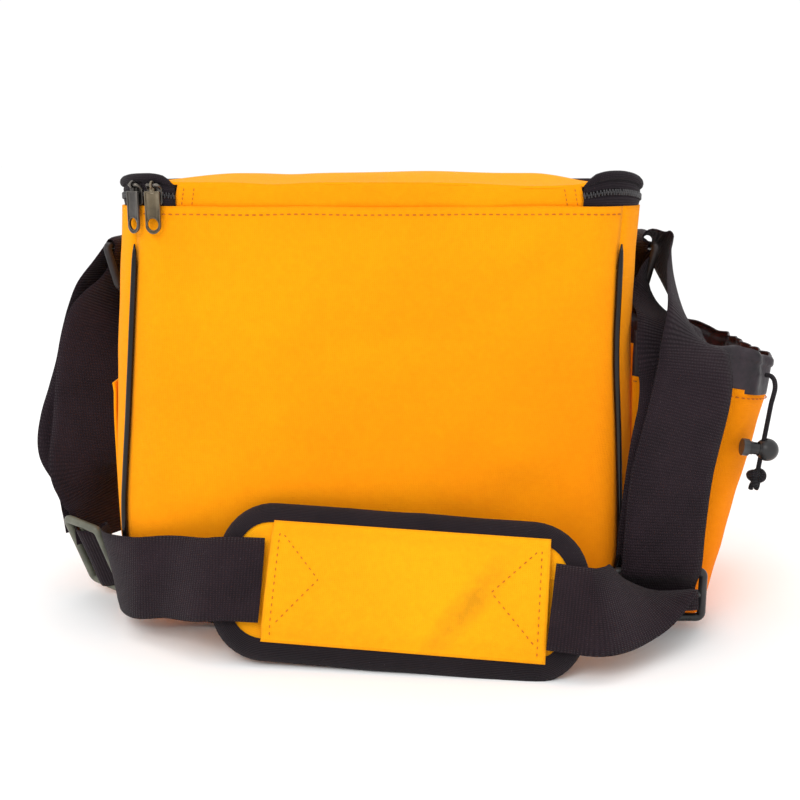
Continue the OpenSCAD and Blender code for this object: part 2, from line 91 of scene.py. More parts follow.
# strap stations as in the CAD part, in mm: (centre, direction across the webbing)
FRONT_LEFT = [
    ((-203.3, -29.9, 34.2), (0.18, 0.37, -0.91)), ((-199.2, -37.6, 31.8), (0.18, 0.37, -0.91)),
    ((-195, -45.3, 29.5), (0.18, 0.37, -0.91)), ((-186.2, -46.8, 30.6), (0.18, 0.37, -0.91)),
    ((-176.8, -48, 31.9), (0.18, 0.37, -0.91)), ((-164, -70, 34), (0.12, 0.1, -0.98)),
    ((-150, -90, 38), (0.05, -0.2, -0.96)), ((-130, -111, 42), (0, -0.4, -0.92)),
    ((-108, -125, 45.5), (-0.03, -0.45, -0.89)), ((-92, -128.8, 47.6), (-0.05, -0.47, -0.88)),
    ((-70, -131.1, 47.6), (-0.05, -0.47, -0.88)),
]
FRONT_RIGHT = [
    ((99, -152.9, 40.1), (-0.05, -0.47, -0.88)), ((112, -155, 39), (-0.03, -0.47, -0.88)),
    ((126, -156.5, 38), (0, -0.48, -0.88)), ((139, -148, 37), (0.1, -0.55, -0.83)),
    ((151, -133, 36), (0.4, -0.6, -0.7)), ((161, -118, 34), (0.8, -0.5, -0.35)),
    ((168, -108, 31), (0.97, -0.2, -0.1)), ((172, -101.5, 26), (1, 0, 0)),
    ((174, -97, 18), (1, 0, 0)), ((175, -93.5, 13.5), (1, 0, 0)), ((175, -88, 12.5), (1, 0, 0)),
]
OUTER_LEFT = [
    ((-198, -17.5, 64), (-0.5, -0.87, 0)), ((-200, -19.5, 76), (-0.7, -0.7, 0)),
    ((-201, -21, 90), (-0.9, -0.44, 0)), ((-198, -18, 113), (-0.96, -0.28, 0)),
    ((-196, -13, 140), (-0.96, -0.28, 0)), ((-193, -9, 165), (-0.93, -0.37, 0)),
    ((-188, -6, 184), (-0.82, -0.57, 0)), ((-183, -4, 197), (-0.6, -0.8, 0)),
    ((-177, -2, 210), (-0.3, -0.95, 0)), ((-171, 0, 224), (-0.21, -0.98, 0)),
    ((-167.9, 0.7, 236.5), (-0.21, -0.98, 0)),
]
INNER_LEFT = [
    ((-203.5, -14, 55), (-0.3, -0.65, -0.7)), ((-208, -6, 73), (-0.55, -0.83, 0)),
    ((-216, 4, 93), (-0.88, -0.45, 0)), ((-215, 9, 110), (-0.97, -0.25, 0)),
    ((-210, 13, 128), (-1, -0.1, 0)), ((-203, 15, 150), (-0.98, -0.2, 0)),
    ((-198, 14, 172), (-0.9, -0.43, 0)), ((-194, 11, 190), (-0.78, -0.63, 0)),
    ((-189, 7, 208), (-0.6, -0.8, 0)), ((-181, 4, 224), (-0.4, -0.92, 0)),
    ((-175.7, 2.3, 236.5), (-0.21, -0.98, 0)),
]
OUTER_RIGHT = [
    ((175, -85.6, 22), (1, 0, 0)), ((175, -86.2, 25.5), (1, 0, 0)), ((175, -90, 31), (1, 0, 0)),
    ((175, -94.9, 37), (1, 0, 0)), ((175.5, -96.5, 46), (1, 0, 0)), ((176, -97, 66), (1, 0, 0)),
    ((178, -98, 100), (1, 0, 0)), ((183, -97, 125), (1, 0.1, 0)),
    ((189, -92, 146), (0.99, 0.15, 0)), ((191.2, -91, 163.5), (0.97, 0.25, 0)),
    ((189.8, -85, 180), (0.85, 0.52, 0)), ((187, -56, 196), (0.55, 0.83, 0)),
    ((189, -22, 210), (0.1, 0.99, 0)), ((182, -5, 226), (-0.2, 0.98, 0)),
    ((176.1, 2.2, 236.5), (-0.21, 0.98, 0)),
]
INNER_RIGHT = [
    ((174.5, -82.3, 27), (1, 0, 0)), ((174, -84, 42), (1, 0, 0)), ((174, -87, 62), (1, 0, 0)),
    ((176, -89, 92), (1, 0, 0)), ((179, -88, 118), (1, 0, 0)), ((183, -84, 138), (1, 0.05, 0)),
    ((184.2, -80, 157), (1, 0.05, 0)), ((181, -78, 175.5), (0.97, 0.2, 0)),
    ((180.5, -62, 190.5), (0.7, 0.7, 0)), ((178.5, -34, 200), (0.2, 0.98, 0)),
    ((174.5, -12, 210), (-0.2, 0.98, 0)), ((172.8, -4, 218), (-0.2, 0.98, 0)),
    ((170.1, 0, 226), (-0.2, 0.98, 0)), ((167.9, 0.7, 236.5), (-0.21, 0.98, 0)),
]
CORD_D = 3.0
KNOT_AT = Vector((236.9, -76, 95))
CORD_ROUTE = [(243, -62.5, 158), (245, -66, 158), (246, -70, 156), (245.5, -74, 152),
              (244, -76, 147), (243, -76, 142), (242, -76, 134), (241, -76, 126),
              (240, -76, 118), (239, -76, 110), (238, -76, 102), (237.5, -76, 98)]


# ---------------------------------------------------------------- node materials
class Shader:
    """A material under construction: short calls that add and join nodes."""

    def __init__(self, name):
        self.material = bpy.data.materials.new(name)
        self.material.use_nodes = True
        self.tree = self.material.node_tree
        self.bsdf = self.tree.nodes["Principled BSDF"]

    def add(self, kind, **values):
        made = self.tree.nodes.new("ShaderNode" + kind)
        for key, value in values.items():
            socket = key.replace("_", " ")
            if socket in made.inputs:
                made.inputs[socket].default_value = value
            else:
                setattr(made, key, value)
        return made

    def join(self, out, into):
        self.tree.links.new(out, into)

    def coords(self, kind, scale=(1, 1, 1)):
        source = self.add("TexCoord")
        mapping = self.add("Mapping", Scale=scale)
        self.join(source.outputs[kind], mapping.inputs["Vector"])
        return mapping.outputs["Vector"]

    def noise(self, vector, scale, detail=3.0, rough=0.5):
        made = self.add("TexNoise", Scale=scale, Detail=detail, Roughness=rough)
        self.join(vector, made.inputs["Vector"])
        return made.outputs["Fac"]

    def wave(self, vector, pitch, direction, distortion=0.0):
        made = self.add("TexWave", wave_type="BANDS", bands_direction=direction,
                        Scale=1 / pitch / WAVE_TURN, Distortion=distortion,
                        Detail_Scale=2.0)
        self.join(vector, made.inputs["Vector"])
        return made.outputs["Fac"]

    def ramp(self, fac, stops):
        made = self.add("ValToRGB")
        ramp = made.color_ramp
        while len(ramp.elements) < len(stops):
            ramp.elements.new(0.5)
        for element, (place, colour) in zip(ramp.elements, stops):
            element.position = place
            element.color = (*colour, 1)
        self.join(fac, made.inputs["Fac"])
        return made.outputs["Color"]

    def spread(self, fac, low, high):
        made = self.add("MapRange", To_Min=low, To_Max=high)
        self.join(fac, made.inputs["Value"])
        return made.outputs["Result"]

    def maths(self, operation, a, b):
        made = self.add("Math", operation=operation)
        for socket, value in zip(made.inputs, (a, b)):
            if isinstance(value, (int, float)):
                socket.default_value = value
            else:
                self.join(value, socket)
        return made.outputs["Value"]

    def mix(self, fac, a, b, blend_type="MIX"):
        made = self.add("MixRGB", blend_type=blend_type)
        for socket, value in zip(made.inputs, (fac, a, b)):
            if isinstance(value, (int, float)):
                socket.default_value = value
            elif isinstance(value, tuple):
                socket.default_value = (*value, 1)
            else:
                self.join(value, socket)
        return made.outputs["Color"]

    def bump(self, height, distance, strength=1.0, below=None):
        made = self.add("Bump", Strength=strength, Distance=distance)
        self.join(height, made.inputs["Height"])
        if below is not None:
            self.join(below, made.inputs["Normal"])
        return made.outputs["Normal"]

    def finish(self, colour=None, rough=None, normal=None, **constants):
        if colour is not None:
            self.join(colour, self.bsdf.inputs["Base Color"])
        if rough is not None:
            self.join(rough, self.bsdf.inputs["Roughness"])
        if normal is not None:
            self.join(normal, self.bsdf.inputs["Normal"])
        for key, value in constants.items():
            self.bsdf.inputs[key.replace("_", " ")].default_value = value
        return self.material


def woven(name, light, dark, pitch, rough=(0.75, 0.95), sheen=0.03, soil=None, painted_shade=None,
          relief=0.00025):
    """Plain-weave cloth: crossing threads in UV metres over slow colour changes, with an optional
    painted shade that darkens it towards the bottom and the right.
    """
    s = Shader(name)
    uv = s.coords("UV")
    place = s.coords("Object")
    warp = s.wave(uv, pitch, "X", 0.4)
    weft = s.wave(uv, pitch, "Y", 0.4)
    threads = s.maths("MULTIPLY", warp, weft)
    slubs = s.noise(s.coords("UV", (1, 5, 1)), 420, 4, 0.6)
    height = s.maths("ADD", s.maths("MULTIPLY", threads, 0.6), slubs)
    slow = s.noise(place, 9, 3, 0.5)
    fine = s.noise(place, 240, 3, 0.6)
    tint = s.maths("ADD", s.maths("MULTIPLY", slow, 0.7), s.maths("MULTIPLY", fine, 0.3))
    colour = s.ramp(tint, [(0.3, dark), (0.62, light)])
    # painted shade: multiplies the colour darker and redder towards the bottom and the right of
    # each object, in place of the light's fall-off
    if painted_shade:
        across = s.add("SeparateXYZ")
        s.join(place, across.inputs["Vector"])
        low = s.maths("SUBTRACT", s.maths("MULTIPLY", across.outputs["X"], 1.2),
                      s.maths("MULTIPLY", across.outputs["Z"], 3.0))
        fade = s.add("MapRange", From_Min=-0.5, From_Max=0.2)
        s.join(low, fade.inputs["Value"])
        colour = s.mix(fade.outputs["Result"], colour, painted_shade, "MULTIPLY")
    colour = s.mix(s.spread(slubs, 0.0, 0.16), colour, dark)
    if soil:
        centre, angle, reach = soil
        turned = s.add("Mapping", Rotation=(0, angle, 0),
                       Location=-(Matrix.Rotation(angle, 3, "Y") @ centre) * MM)
        s.join(s.coords("Object"), turned.inputs["Vector"])
        stretched = s.add("Mapping", Scale=(1 / reach[0], 0, 1 / reach[1]))
        s.join(turned.outputs["Vector"], stretched.inputs["Vector"])
        blot = s.add("TexGradient", gradient_type="SPHERICAL")
        s.join(stretched.outputs["Vector"], blot.inputs["Vector"])
        stain = s.maths("MULTIPLY", blot.outputs["Fac"], s.noise(place, 130, 4, 0.7))
        mask = s.ramp(stain, [(0.06, (0, 0, 0)), (0.5, (0.42, 0.42, 0.42))])
        colour = s.mix(mask, colour, (0.30, 0.13, 0.008))
    normal = s.bump(height, relief)
    return s.finish(colour, s.spread(slow, *rough), normal, Sheen_Weight=sheen,
                    Sheen_Roughness=0.5, Specular_IOR_Level=0.08)


def ribbed(name, light, dark, rib, line, sheen=0.06, relief=0.0006):
    """Narrow-woven tape: ribs across its length, finer lines along it, in UV metres."""
    s = Shader(name)
    uv = s.coords("UV")
    ribs = s.wave(uv, rib, "Y", 0.6)
    lines = s.wave(uv, line, "X", 0.3)
    fuzz = s.noise(uv, 900, 4, 0.7)
    height = s.maths("ADD", s.maths("MULTIPLY", ribs, lines), s.maths("MULTIPLY", fuzz, 0.5))
    slow = s.noise(s.coords("Object"), 30, 4, 0.6)
    colour = s.ramp(s.maths("MULTIPLY", s.maths("ADD", height, slow), 0.5),
                    [(0.25, dark), (0.8, light)])
    lint = s.ramp(s.noise(s.coords("Object"), 1500, 2, 0.5),
                  [(0.72, (0, 0, 0)), (0.8, (0.35, 0.33, 0.35))])
    colour = s.mix(lint, colour, (0.35, 0.3, 0.34))
    normal = s.bump(height, relief)
    return s.finish(colour, s.spread(fuzz, 0.6, 0.95), normal, Sheen_Weight=sheen,
                    Sheen_Roughness=0.4, Specular_IOR_Level=0.12)


def moulded(name, light, dark, rough=(0.3, 0.5), metal=0.0, coat=0.0, relief=0.00008, wear=None,
            gloss=0.4):
    """Moulded plastic or coated metal with fine grain, and paler rubbed edges."""
    s = Shader(name)
    place = s.coords("Object")
    grain = s.noise(place, 900, 3, 0.6)
    cloud = s.noise(place, 60, 4, 0.6)
    colour = s.ramp(cloud, [(0.35, dark), (0.65, light)])
    if wear:
        edge = s.add("NewGeometry").outputs["Pointiness"]
        worn = s.maths("MULTIPLY", s.ramp(edge, [(0.51, (0, 0, 0)), (0.6, (1, 1, 1))]), cloud)
        colour = s.mix(worn, colour, wear)
    normal = s.bump(grain, relief)
    return s.finish(colour, s.spread(cloud, *rough), normal, Metallic=metal, Coat_Weight=coat,
                    Coat_Roughness=0.15, Specular_IOR_Level=gloss)


def crumpled_nylon(name, light, dark):
    """Thin coated nylon: a tight weave, fine creases with painted shade in their hollows and
    lighter crests, and a soft shine.
    """
    s = Shader(name)
    uv = s.coords("UV")
    place = s.coords("Object")
    pitch = 0.0007
    threads = s.maths("MULTIPLY", s.wave(uv, pitch, "X"), s.wave(uv, pitch, "Y"))
    creases = s.noise(place, 70, 5, 0.6)
    # painted shade: the colour follows the crease height, darker in the hollows and lighter on the
    # crests
    colour = s.ramp(creases, [(0.35, dark), (0.7, light)])
    normal = s.bump(threads, 0.0001, 0.6, s.bump(creases, 0.0025, 0.7))
    return s.finish(colour, s.spread(creases, 0.32, 0.55), normal, Sheen_Weight=0.12,
                    Sheen_Roughness=0.3, Specular_IOR_Level=0.35)


ORANGE = (1.0, 0.36, 0.002)
ORANGE_DARK = (0.93, 0.29, 0.001)
# the bag's canvas carries a painted shade: darker and redder towards the bottom and the right
canvas = woven("canvas", ORANGE, ORANGE_DARK, 0.0011, painted_shade=(0.97, 0.68, 0.3))
# the pad's canvas is a lighter copy of the bag's orange: painted light, since the pad is tilted up
# towards the light; its diagonal smudge is real dirt
pad_canvas = woven("pad_canvas", (1.0, 0.42, 0.005), (0.95, 0.33, 0.003), 0.0011,
                   soil=(PAD_AT + PAD_TURN @ Vector((42, -12, -9)), math.radians(47),
                         (0.052, 0.012)))
thread = moulded("orange_thread", (0.62, 0.17, 0.002), (0.45, 0.11, 0.001), (0.6, 0.8))
black_thread = moulded("black_thread", (0.03, 0.025, 0.03), (0.012, 0.01, 0.012), (0.5, 0.8))
webbing_cloth = ribbed("webbing", (0.036, 0.021, 0.028), (0.008, 0.005, 0.007), 0.0019, 0.0011)
tape_cloth = ribbed("binding_tape", (0.028, 0.019, 0.024), (0.008, 0.006, 0.008), 0.0010, 0.0009,
                    relief=0.0003)
nylon = crumpled_nylon("collar_nylon", (0.036, 0.022, 0.030), (0.009, 0.006, 0.009))
piping_gloss = moulded("piping_vinyl", (0.008, 0.006, 0.007), (0.003, 0.003, 0.003), (0.08, 0.2),
                       gloss=0.3)
black_plastic = moulded("black_plastic", (0.018, 0.017, 0.018), (0.008, 0.008, 0.009),
                        (0.22, 0.42), wear=(0.09, 0.09, 0.09))
grey_plastic = moulded("grey_plastic", (0.125, 0.128, 0.090), (0.07, 0.072, 0.052), (0.3, 0.5),
                       wear=(0.25, 0.25, 0.2))
ring_plastic = moulded("ring_plastic", (0.016, 0.013, 0.013), (0.008, 0.007, 0.007), (0.3, 0.5),
                       wear=(0.06, 0.05, 0.05), gloss=0.25)
slider_metal = moulded("slider_metal", (0.05, 0.045, 0.045), (0.015, 0.014, 0.014), (0.2, 0.4),
                       metal=0.8, wear=(0.4, 0.36, 0.3))
pull_metal_dark = moulded("pull_metal_dark", (0.060, 0.056, 0.056), (0.022, 0.02, 0.02),
                          (0.25, 0.45), metal=0.75, wear=(0.35, 0.32, 0.28))
# pull_metal is the dark pull metal tinted brown: the tint is a painted reflection of the orange
# canvas, and pull_metal_dark is the same metal without it
pull_metal = moulded("pull_metal", (0.11, 0.082, 0.045), (0.05, 0.038, 0.022), (0.25, 0.45),
                     metal=0.75, wear=(0.4, 0.34, 0.25))
tooth_nylon = moulded("zip_coil", (0.035, 0.03, 0.032), (0.012, 0.01, 0.012), (0.25, 0.4),
                      coat=0.3)
lining_cloth = woven("lining_foil", (0.62, 0.64, 0.66), (0.42, 0.44, 0.46), 0.0016, (0.3, 0.5),
                     0.1, relief=0.0002)
foam_grey = woven("foam_edge", (0.55, 0.55, 0.53), (0.4, 0.4, 0.39), 0.0012)
board_grey = moulded("base_board", (0.16, 0.16, 0.17), (0.09, 0.09, 0.1), (0.5, 0.7))
cord_braid = ribbed("cord_braid", (0.03, 0.025, 0.03), (0.008, 0.007, 0.008), 0.0012, 0.0012)
spring_steel = moulded("spring_steel", (0.6, 0.6, 0.6), (0.4, 0.4, 0.4), (0.2, 0.3), metal=1.0)


# ---------------------------------------------------------------- mesh helpers (points in mm)
def piece(name, points, faces, material, body="root", uv=None):
    mesh = bpy.data.meshes.new(name)
    mesh.from_pydata([Vector(p) * MM for p in points], [], faces)
    mesh.materials.append(material)
    if uv:
        layer = mesh.uv_layers.new(name="cloth")
        for loop in mesh.loops:
            layer.data[loop.index].uv = uv[loop.vertex_index]
    mesh.polygons.foreach_set("use_smooth", [True] * len(mesh.polygons))
    mesh.update()
    made = bpy.data.objects.new(name, mesh)
    bpy.context.scene.collection.objects.link(made)
    if body:
        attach(made, body)
    return made


def bake(made):
    """Apply every modifier, so the mesh is the finished one."""
    graph = bpy.context.evaluated_depsgraph_get()
    mesh = bpy.data.meshes.new_from_object(made.evaluated_get(graph))
    made.modifiers.clear()
    made.data = mesh
    return made


def thicken(made, t, offset):
    solid = made.modifiers.new("thickness", "SOLIDIFY")
    solid.thickness = t * MM
    solid.offset = offset
    solid.use_even_offset = False


def soften(made, width):
    edge = made.modifiers.new("soft_edges", "BEVEL")
    edge.width = width * MM
    edge.segments = 2
    edge.limit_method = "ANGLE"
    edge.angle_limit = math.radians(50)
    return made


def sheet_mesh(name, rows, material, body="root", t=0.0, offset=0.0, flip=False, closed=False):
    """A cloth grid with its UVs in metres; closed joins each row's end to its start."""
    count = len(rows[0])
    points = [Vector(p) for row in rows for p in row]
    uv = []
    drop = 0.0
    for i, row in enumerate(rows):
        run = 0.0
        if i:
            drop += (Vector(row[count // 2]) - Vector(rows[i - 1][count // 2])).length
        for j in range(count):
            if j:
                run += (Vector(row[j]) - Vector(row[j - 1])).length
            uv.append((run * MM, drop * MM))
    faces = []
    for i in range(len(rows) - 1):
        for j in range(count if closed else count - 1):
            k = (j + 1) % count
            quad = (i * count + j, i * count + k, (i + 1) * count + k, (i + 1) * count + j)
            faces.append(quad[::-1] if flip else quad)
    made = piece(name, points, faces, material, body, uv)
    if t:
        thicken(made, t, offset)
    return made


def frames_along(points, closed=False):
    """Tangent, side and up vectors along a path, carried along without twisting."""
    n = len(points)
    out = []
    side = None
    for i in range(n):
        after = points[(i + 1) % n] if closed else points[min(i + 1, n - 1)]
        before = points[i - 1] if closed else points[max(i - 1, 0)]
        tangent = (after - before).normalized()
        if side is None:
            side = tangent.cross(Vector((0, 0, 1)))
            if side.length < 0.1:
                side = tangent.cross(Vector((1, 0, 0)))
        side = (side - tangent * side.dot(tangent)).normalized()
        out.append((tangent, side, tangent.cross(side)))
    return out


def tube(name, points, radius, material, body="root", sides=12, closed=False, flat=1.0, taper=0):
    """Round or oval bar along a path; taper rounds the two open ends."""
    points = [Vector(p) for p in points]
    n = len(points)
    verts, uv, faces = [], [], []
    run = 0.0
    for i, (tangent, side, up) in enumerate(frames_along(points, closed)):
        run += (points[i] - points[i - 1]).length if i else 0.0
        near = min(i, n - 1 - i)
        size = radius
        if taper and not closed and near < taper:
            size = radius * math.sqrt(1 - (1 - (near + 0.15) / (taper + 0.15)) ** 2)
        for j in range(sides):
            a = 2 * math.pi * j / sides
            verts.append(points[i] + side * size * math.cos(a) + up * size * flat * math.sin(a))
            uv.append((2 * math.pi * radius * j / sides * MM, run * MM))
    for i in range(n if closed else n - 1):
        for j in range(sides):
            k = (j + 1) % sides
            m = (i + 1) % n
            faces.append((i * sides + j, i * sides + k, m * sides + k, m * sides + j))
    if not closed:
        faces.append(tuple(range(sides))[::-1])
        faces.append(tuple((n - 1) * sides + j for j in range(sides)))
    return piece(name, verts, faces, material, body, uv)


def spline(stations, steps):
    """Smooth curve through the stations."""
    points = [Vector(p) for p in stations]
    out = []
    for i in range(len(points) - 1):
        a, b = points[max(i - 1, 0)], points[i]
        c, d = points[i + 1], points[min(i + 2, len(points) - 1)]
        for k in range(steps):
            t = k / steps
            out.append(0.5 * (2 * b + (c - a) * t + (2 * a - 5 * b + 4 * c - d) * t * t
                              + (3 * b - a - 3 * c + d) * t ** 3))
    return out + [points[-1]]


def stitches(name, path, outward, material=None, body="root", length=2.6, gap=1.5, r=0.42):
    """Thread stitches along a path: each one dips into the cloth at both ends."""
    path = [Vector(p) for p in path]
    marks = [0.0]
    for a, b in zip(path, path[1:]):
        marks.append(marks[-1] + (b - a).length)

    def at(s):
        for i in range(len(path) - 1):
            if s <= marks[i + 1] or i == len(path) - 2:
                t = (s - marks[i]) / max(marks[i + 1] - marks[i], 1e-6)
                return path[i].lerp(path[i + 1], min(max(t, 0), 1)), i
        return path[-1], len(path) - 2

    verts, faces = [], []
    s = gap / 2
    sides = 6
    while s + length < marks[-1]:
        mid, i = at(s + length / 2)
        along = (path[i + 1] - path[i]).normalized()
        out = outward(mid) if callable(outward) else Vector(outward)
        out = (out - along * out.dot(along)).normalized()
        side = along.cross(out)
        base = len(verts)
        for place, size, lift in ((0, 0.35, -0.5), (0.18, 0.9, 0.1), (0.5, 1, 0.35),
                                  (0.82, 0.9, 0.1), (1, 0.35, -0.5)):
            centre = at(s + length * place)[0] + out * lift * r * 1.6
            for j in range(sides):
                a = 2 * math.pi * j / sides
                verts.append(centre + (side * math.cos(a) + out * math.sin(a)) * r * size)
        for ring in range(4):
            for j in range(sides):
                k = (j + 1) % sides
                a = base + ring * sides
                faces.append((a + j, a + k, a + sides + k, a + sides + j))
        s += length + gap
    return piece(name, verts, faces, material or thread, body)


def stands(made, slot, *nodes):
    """Hides the CAD nodes that a piece stands for; the slot argument is not used."""
    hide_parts(*nodes)
    return made


def repaint(node, material):
    """Gives a CAD node that stays visible its material."""
    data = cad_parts[node].data
    data.materials.clear()
    data.materials.append(material)


def turns(n):
    return [2 * math.pi * i / n for i in range(n)]


def rounded_outline(half_w, half_h, r, n=6):
    """Rounded rectangle about the origin, from its upper right corner round to the left."""
    out = []
    for cx, cy, a in ((half_w - r, half_h - r, 0), (-half_w + r, half_h - r, 90),
                      (-half_w + r, -half_h + r, 180), (half_w - r, -half_h + r, 270)):
        for i in range(n + 1):
            t = math.radians(a + 90 * i / n)
            out.append((cx + r * math.cos(t), cy + r * math.sin(t)))
    return out


def ease(value, low, high):
    t = min(max((value - low) / (high - low), 0), 1)
    return t * t * (3 - 2 * t)


def wrinkle(p, size, seed=0.0):
    return noise.noise(Vector(p) / size + Vector((seed, seed * 1.7, -seed)))


def crease(x, z, start, end, width, depth):
    """A soft fold along one line of the face."""
    a, b = Vector(start), Vector(end)
    p = Vector((x, z))
    t = min(max((p - a).dot(b - a) / (b - a).length_squared, 0), 1)
    fade = math.sin(math.pi * min(max(t, 0.02), 0.98))
    return depth * fade * math.exp(-((p - a.lerp(b, t)).length / width) ** 2)


# ---------------------------------------------------------------- camera, light and floor
def camera_and_light():
    camera = bpy.data.objects.new("camera", bpy.data.cameras.new("camera"))
    bpy.context.scene.collection.objects.link(camera)
    camera.location = CAMERA_AT
    camera.rotation_euler = (math.radians(90 - CAMERA_PITCH), 0, 0)
    camera.data.sensor_width = 36
    camera.data.lens = LENS
    bpy.context.scene.camera = camera

    world = bpy.data.worlds.new("studio")
    world.use_nodes = True
    background = world.node_tree.nodes["Background"]
    background.inputs["Color"].default_value = (1, 1, 1, 1)
    background.inputs["Strength"].default_value = 1.03
    bpy.context.scene.world = world
    bpy.context.scene.view_settings.view_transform = "Standard"

    def area(name, place, target, size, power):
        light = bpy.data.objects.new(name, bpy.data.lights.new(name, "AREA"))
        bpy.context.scene.collection.objects.link(light)
        light.data.size = size
        light.data.energy = power
        light.location = place
        light.rotation_euler = (Vector(target) - Vector(place)).to_track_quat("-Z", "Y").to_euler()

    area("key_light", (-0.55, -1.1, 1.15), (0, 0, 0.12), 0.7, 7)
    area("top_light", (0.1, 0.3, 1.3), (0, 0, 0.1), 0.9, 3)

    s = Shader("floor")
    speck = s.noise(s.coords("Object"), 60, 3, 0.5)
    floor_paint = s.finish(s.ramp(speck, [(0.3, (0.985, 0.985, 0.985)), (0.7, (0.99, 0.99, 0.99))]),
                           s.spread(speck, 0.8, 0.9))
    corners = [(x * FLOOR_REACH, y * FLOOR_REACH, FLOOR_Z)
               for x, y in ((-1, -1), (1, -1), (1, 1), (-1, 1))]
    floor = piece("floor", corners, [(0, 1, 2, 3)], floor_paint, body=None)


# ---------------------------------------------------------------- bag body
def half_seam(z):
    """Half width of the face inside its seam at height z."""
    low = SEAM_R + 4
    if z >= low:
        return SEAM_W
    return SEAM_W - SEAM_R + math.sqrt(max(SEAM_R ** 2 - (low - z) ** 2, 0))


# how far the seams and the sides stand out from the CAD outline: (height, shift) in mm
SEAM_SHIFT = {LEFT: [(4, 7), (30, 14), (72, 16), (128, 10.6), (180, 5.7), (243, 0), (264, 0)],
              RIGHT: [(4, 3), (45, 5.4), (120, 1.7), (175, -2.5), (243, -2), (264, 0)]}
SIDE_SHIFT = {LEFT: [(0, 8), (40, 12), (85, 14), (145, 12), (220, 7), (264, 2.5)],
              RIGHT: [(0, 4), (45, 7), (120, 4), (195, 1.6), (240, 3), (264, 4)]}


def level(table, z):
    """Smoothed value of a table at height z."""
    total = 0.0
    for dz in (-14, -7, 0, 7, 14):
        at = min(max(z + dz, table[0][0]), table[-1][0])
        for (z0, v0), (z1, v1) in zip(table, table[1:]):
            if at <= z1:
                total += v0 + (v1 - v0) * (at - z0) / (z1 - z0)
                break
    return total / 5


def sign(x):
    return -1 if x < 0 else 1


def shifted(x, z, out=0.0):
    """Slides a point of the body sideways: by the seam's shift, or the side's where out is 1."""
    right = x > 0
    move = level(SEAM_SHIFT[right], z) * (1 - out) + level(SIDE_SHIFT[right], z) * out
    return x + sign(x) * move * min(abs(x) / SEAM_W, 1) ** 3


# folds of the hinge-side face, in x and z: (start, end, width, depth)
FACE_CREASES = [
    ((-58, 178), (70, 196), 9, 1.6), ((128, 246), (62, 205), 12, 3.0),
    ((134, 214), (84, 236), 9, 2.0), ((-136, 240), (-88, 205), 11, 2.2),
    ((-60, 128), (-14, 108), 12, 1.2), ((44, 112), (120, 80), 16, 2.2),
    ((60, 70), (132, 118), 14, 1.8),
]


def face_depth(x, z, inset=0.0):
    """Distance of a face from the middle plane, with its swell and folds."""
    radius = CORNER_R - inset
    over = min(max(abs(x) - CORNER_X, 0), radius)
    depth = CORNER_Y + math.sqrt(radius ** 2 - over ** 2)
    edge = min(ease(BODY_H - z, 0, 40), ease(z, 4, 60)) * ease(SEAM_W - abs(x), 0, 60)
    depth += 4.0 * edge
    depth -= 3.0 * (1 - ease(z, 2, 22))
    depth += 1.8 * wrinkle((x, 0, z), 85, 3) * ease(SEAM_W - abs(x), 0, 30)
    depth += 0.5 * wrinkle((x, 0, z), 26, 8)
    for fold in FACE_CREASES:
        depth -= crease(x, z, *fold)
    return depth


def rim_sag(x, z):
    """The folded top edge of a face is not quite level."""
    return 0.9 * wrinkle((x, 0, 0), 60, 4) * ease(z, BODY_H - 40, BODY_H)


def face_rows(way, inset=0.0, top=BODY_H, columns=96, rows=84):
    low = 4 + inset
    out = []
    for i in range(rows + 1):
        z = low + (top - low) * (i / rows) ** 1.25
        half = half_seam(z) - inset
        row = []
        for j in range(columns + 1):
            x = half * (2 * j / columns - 1)
            row.append((shifted(x, z), way * (face_depth(x, z, inset) - inset),
                        z + rim_sag(x, z)))
        out.append(row)
    return out


def outline_pair(count_side=36, count_arc=22, count_low=30):
    """Matching points of the seam line and of the bag's widest outline, left top to right top."""
    pairs = []
    for i in range(count_side):
        t = i / count_side
        pairs.append(((-SEAM_W, BODY_H + (4 + SEAM_R - BODY_H) * t),
                      (-HALF_W, BODY_H + (LOW_R - BODY_H) * t)))
    for i in range(count_arc):
        a = math.radians(180 + 90 * i / count_arc)
        pairs.append(((-SEAM_W + SEAM_R + SEAM_R * math.cos(a), 4 + SEAM_R + SEAM_R * math.sin(a)),
                      (-HALF_W + LOW_R + LOW_R * math.cos(a), LOW_R + LOW_R * math.sin(a))))
    for i in range(count_low // 2 + 1):
        t = i / (count_low // 2)
        pairs.append((((-SEAM_W + SEAM_R) * (1 - t), 4.0), ((-HALF_W + LOW_R) * (1 - t), 0.0)))
    return pairs + [((-p[0], p[1]), (-q[0], q[1])) for p, q in pairs[-2::-1]]


def gusset_rows(inset=0.0, top=None, columns=44):
    """The side and bottom band, from the hinge-side seam across to the other seam."""
    limit = top or math.inf
    top = top or BODY_H
    rows = []
    for seam, wide in outline_pair():
        z_seam = min(seam[1], top)
        front = face_depth(*seam, inset) - inset
        row = []
        for j in range(columns + 1):
            t = j / columns
            y = -front + 2 * front * t
            near = (front - abs(y)) / (front - CORNER_Y + 0.001)
            out = math.sin(min(near, 1) * math.pi / 2) ** 0.8
            x = seam[0] + (wide[0] - seam[0]) * out
            z = z_seam + (wide[1] - seam[1]) * out
            fold = 2.2 * wrinkle((x, y, z), 60, 12) + 0.6 * wrinkle((x, y, z), 22, 5)
            fold *= ease(BODY_H - z, 0, 30)
            push = fold * out * ease(wide[1], 4, 50) - inset
            x = shifted(x, z, out) + sign(x) * push * ease(abs(x), 20, 120)
            z = max(z + inset * (1 - ease(wide[1], 0, LOW_R)), 0.15 + inset)
            row.append((x, y, min(z, limit)))
        rows.append(row)
    return rows


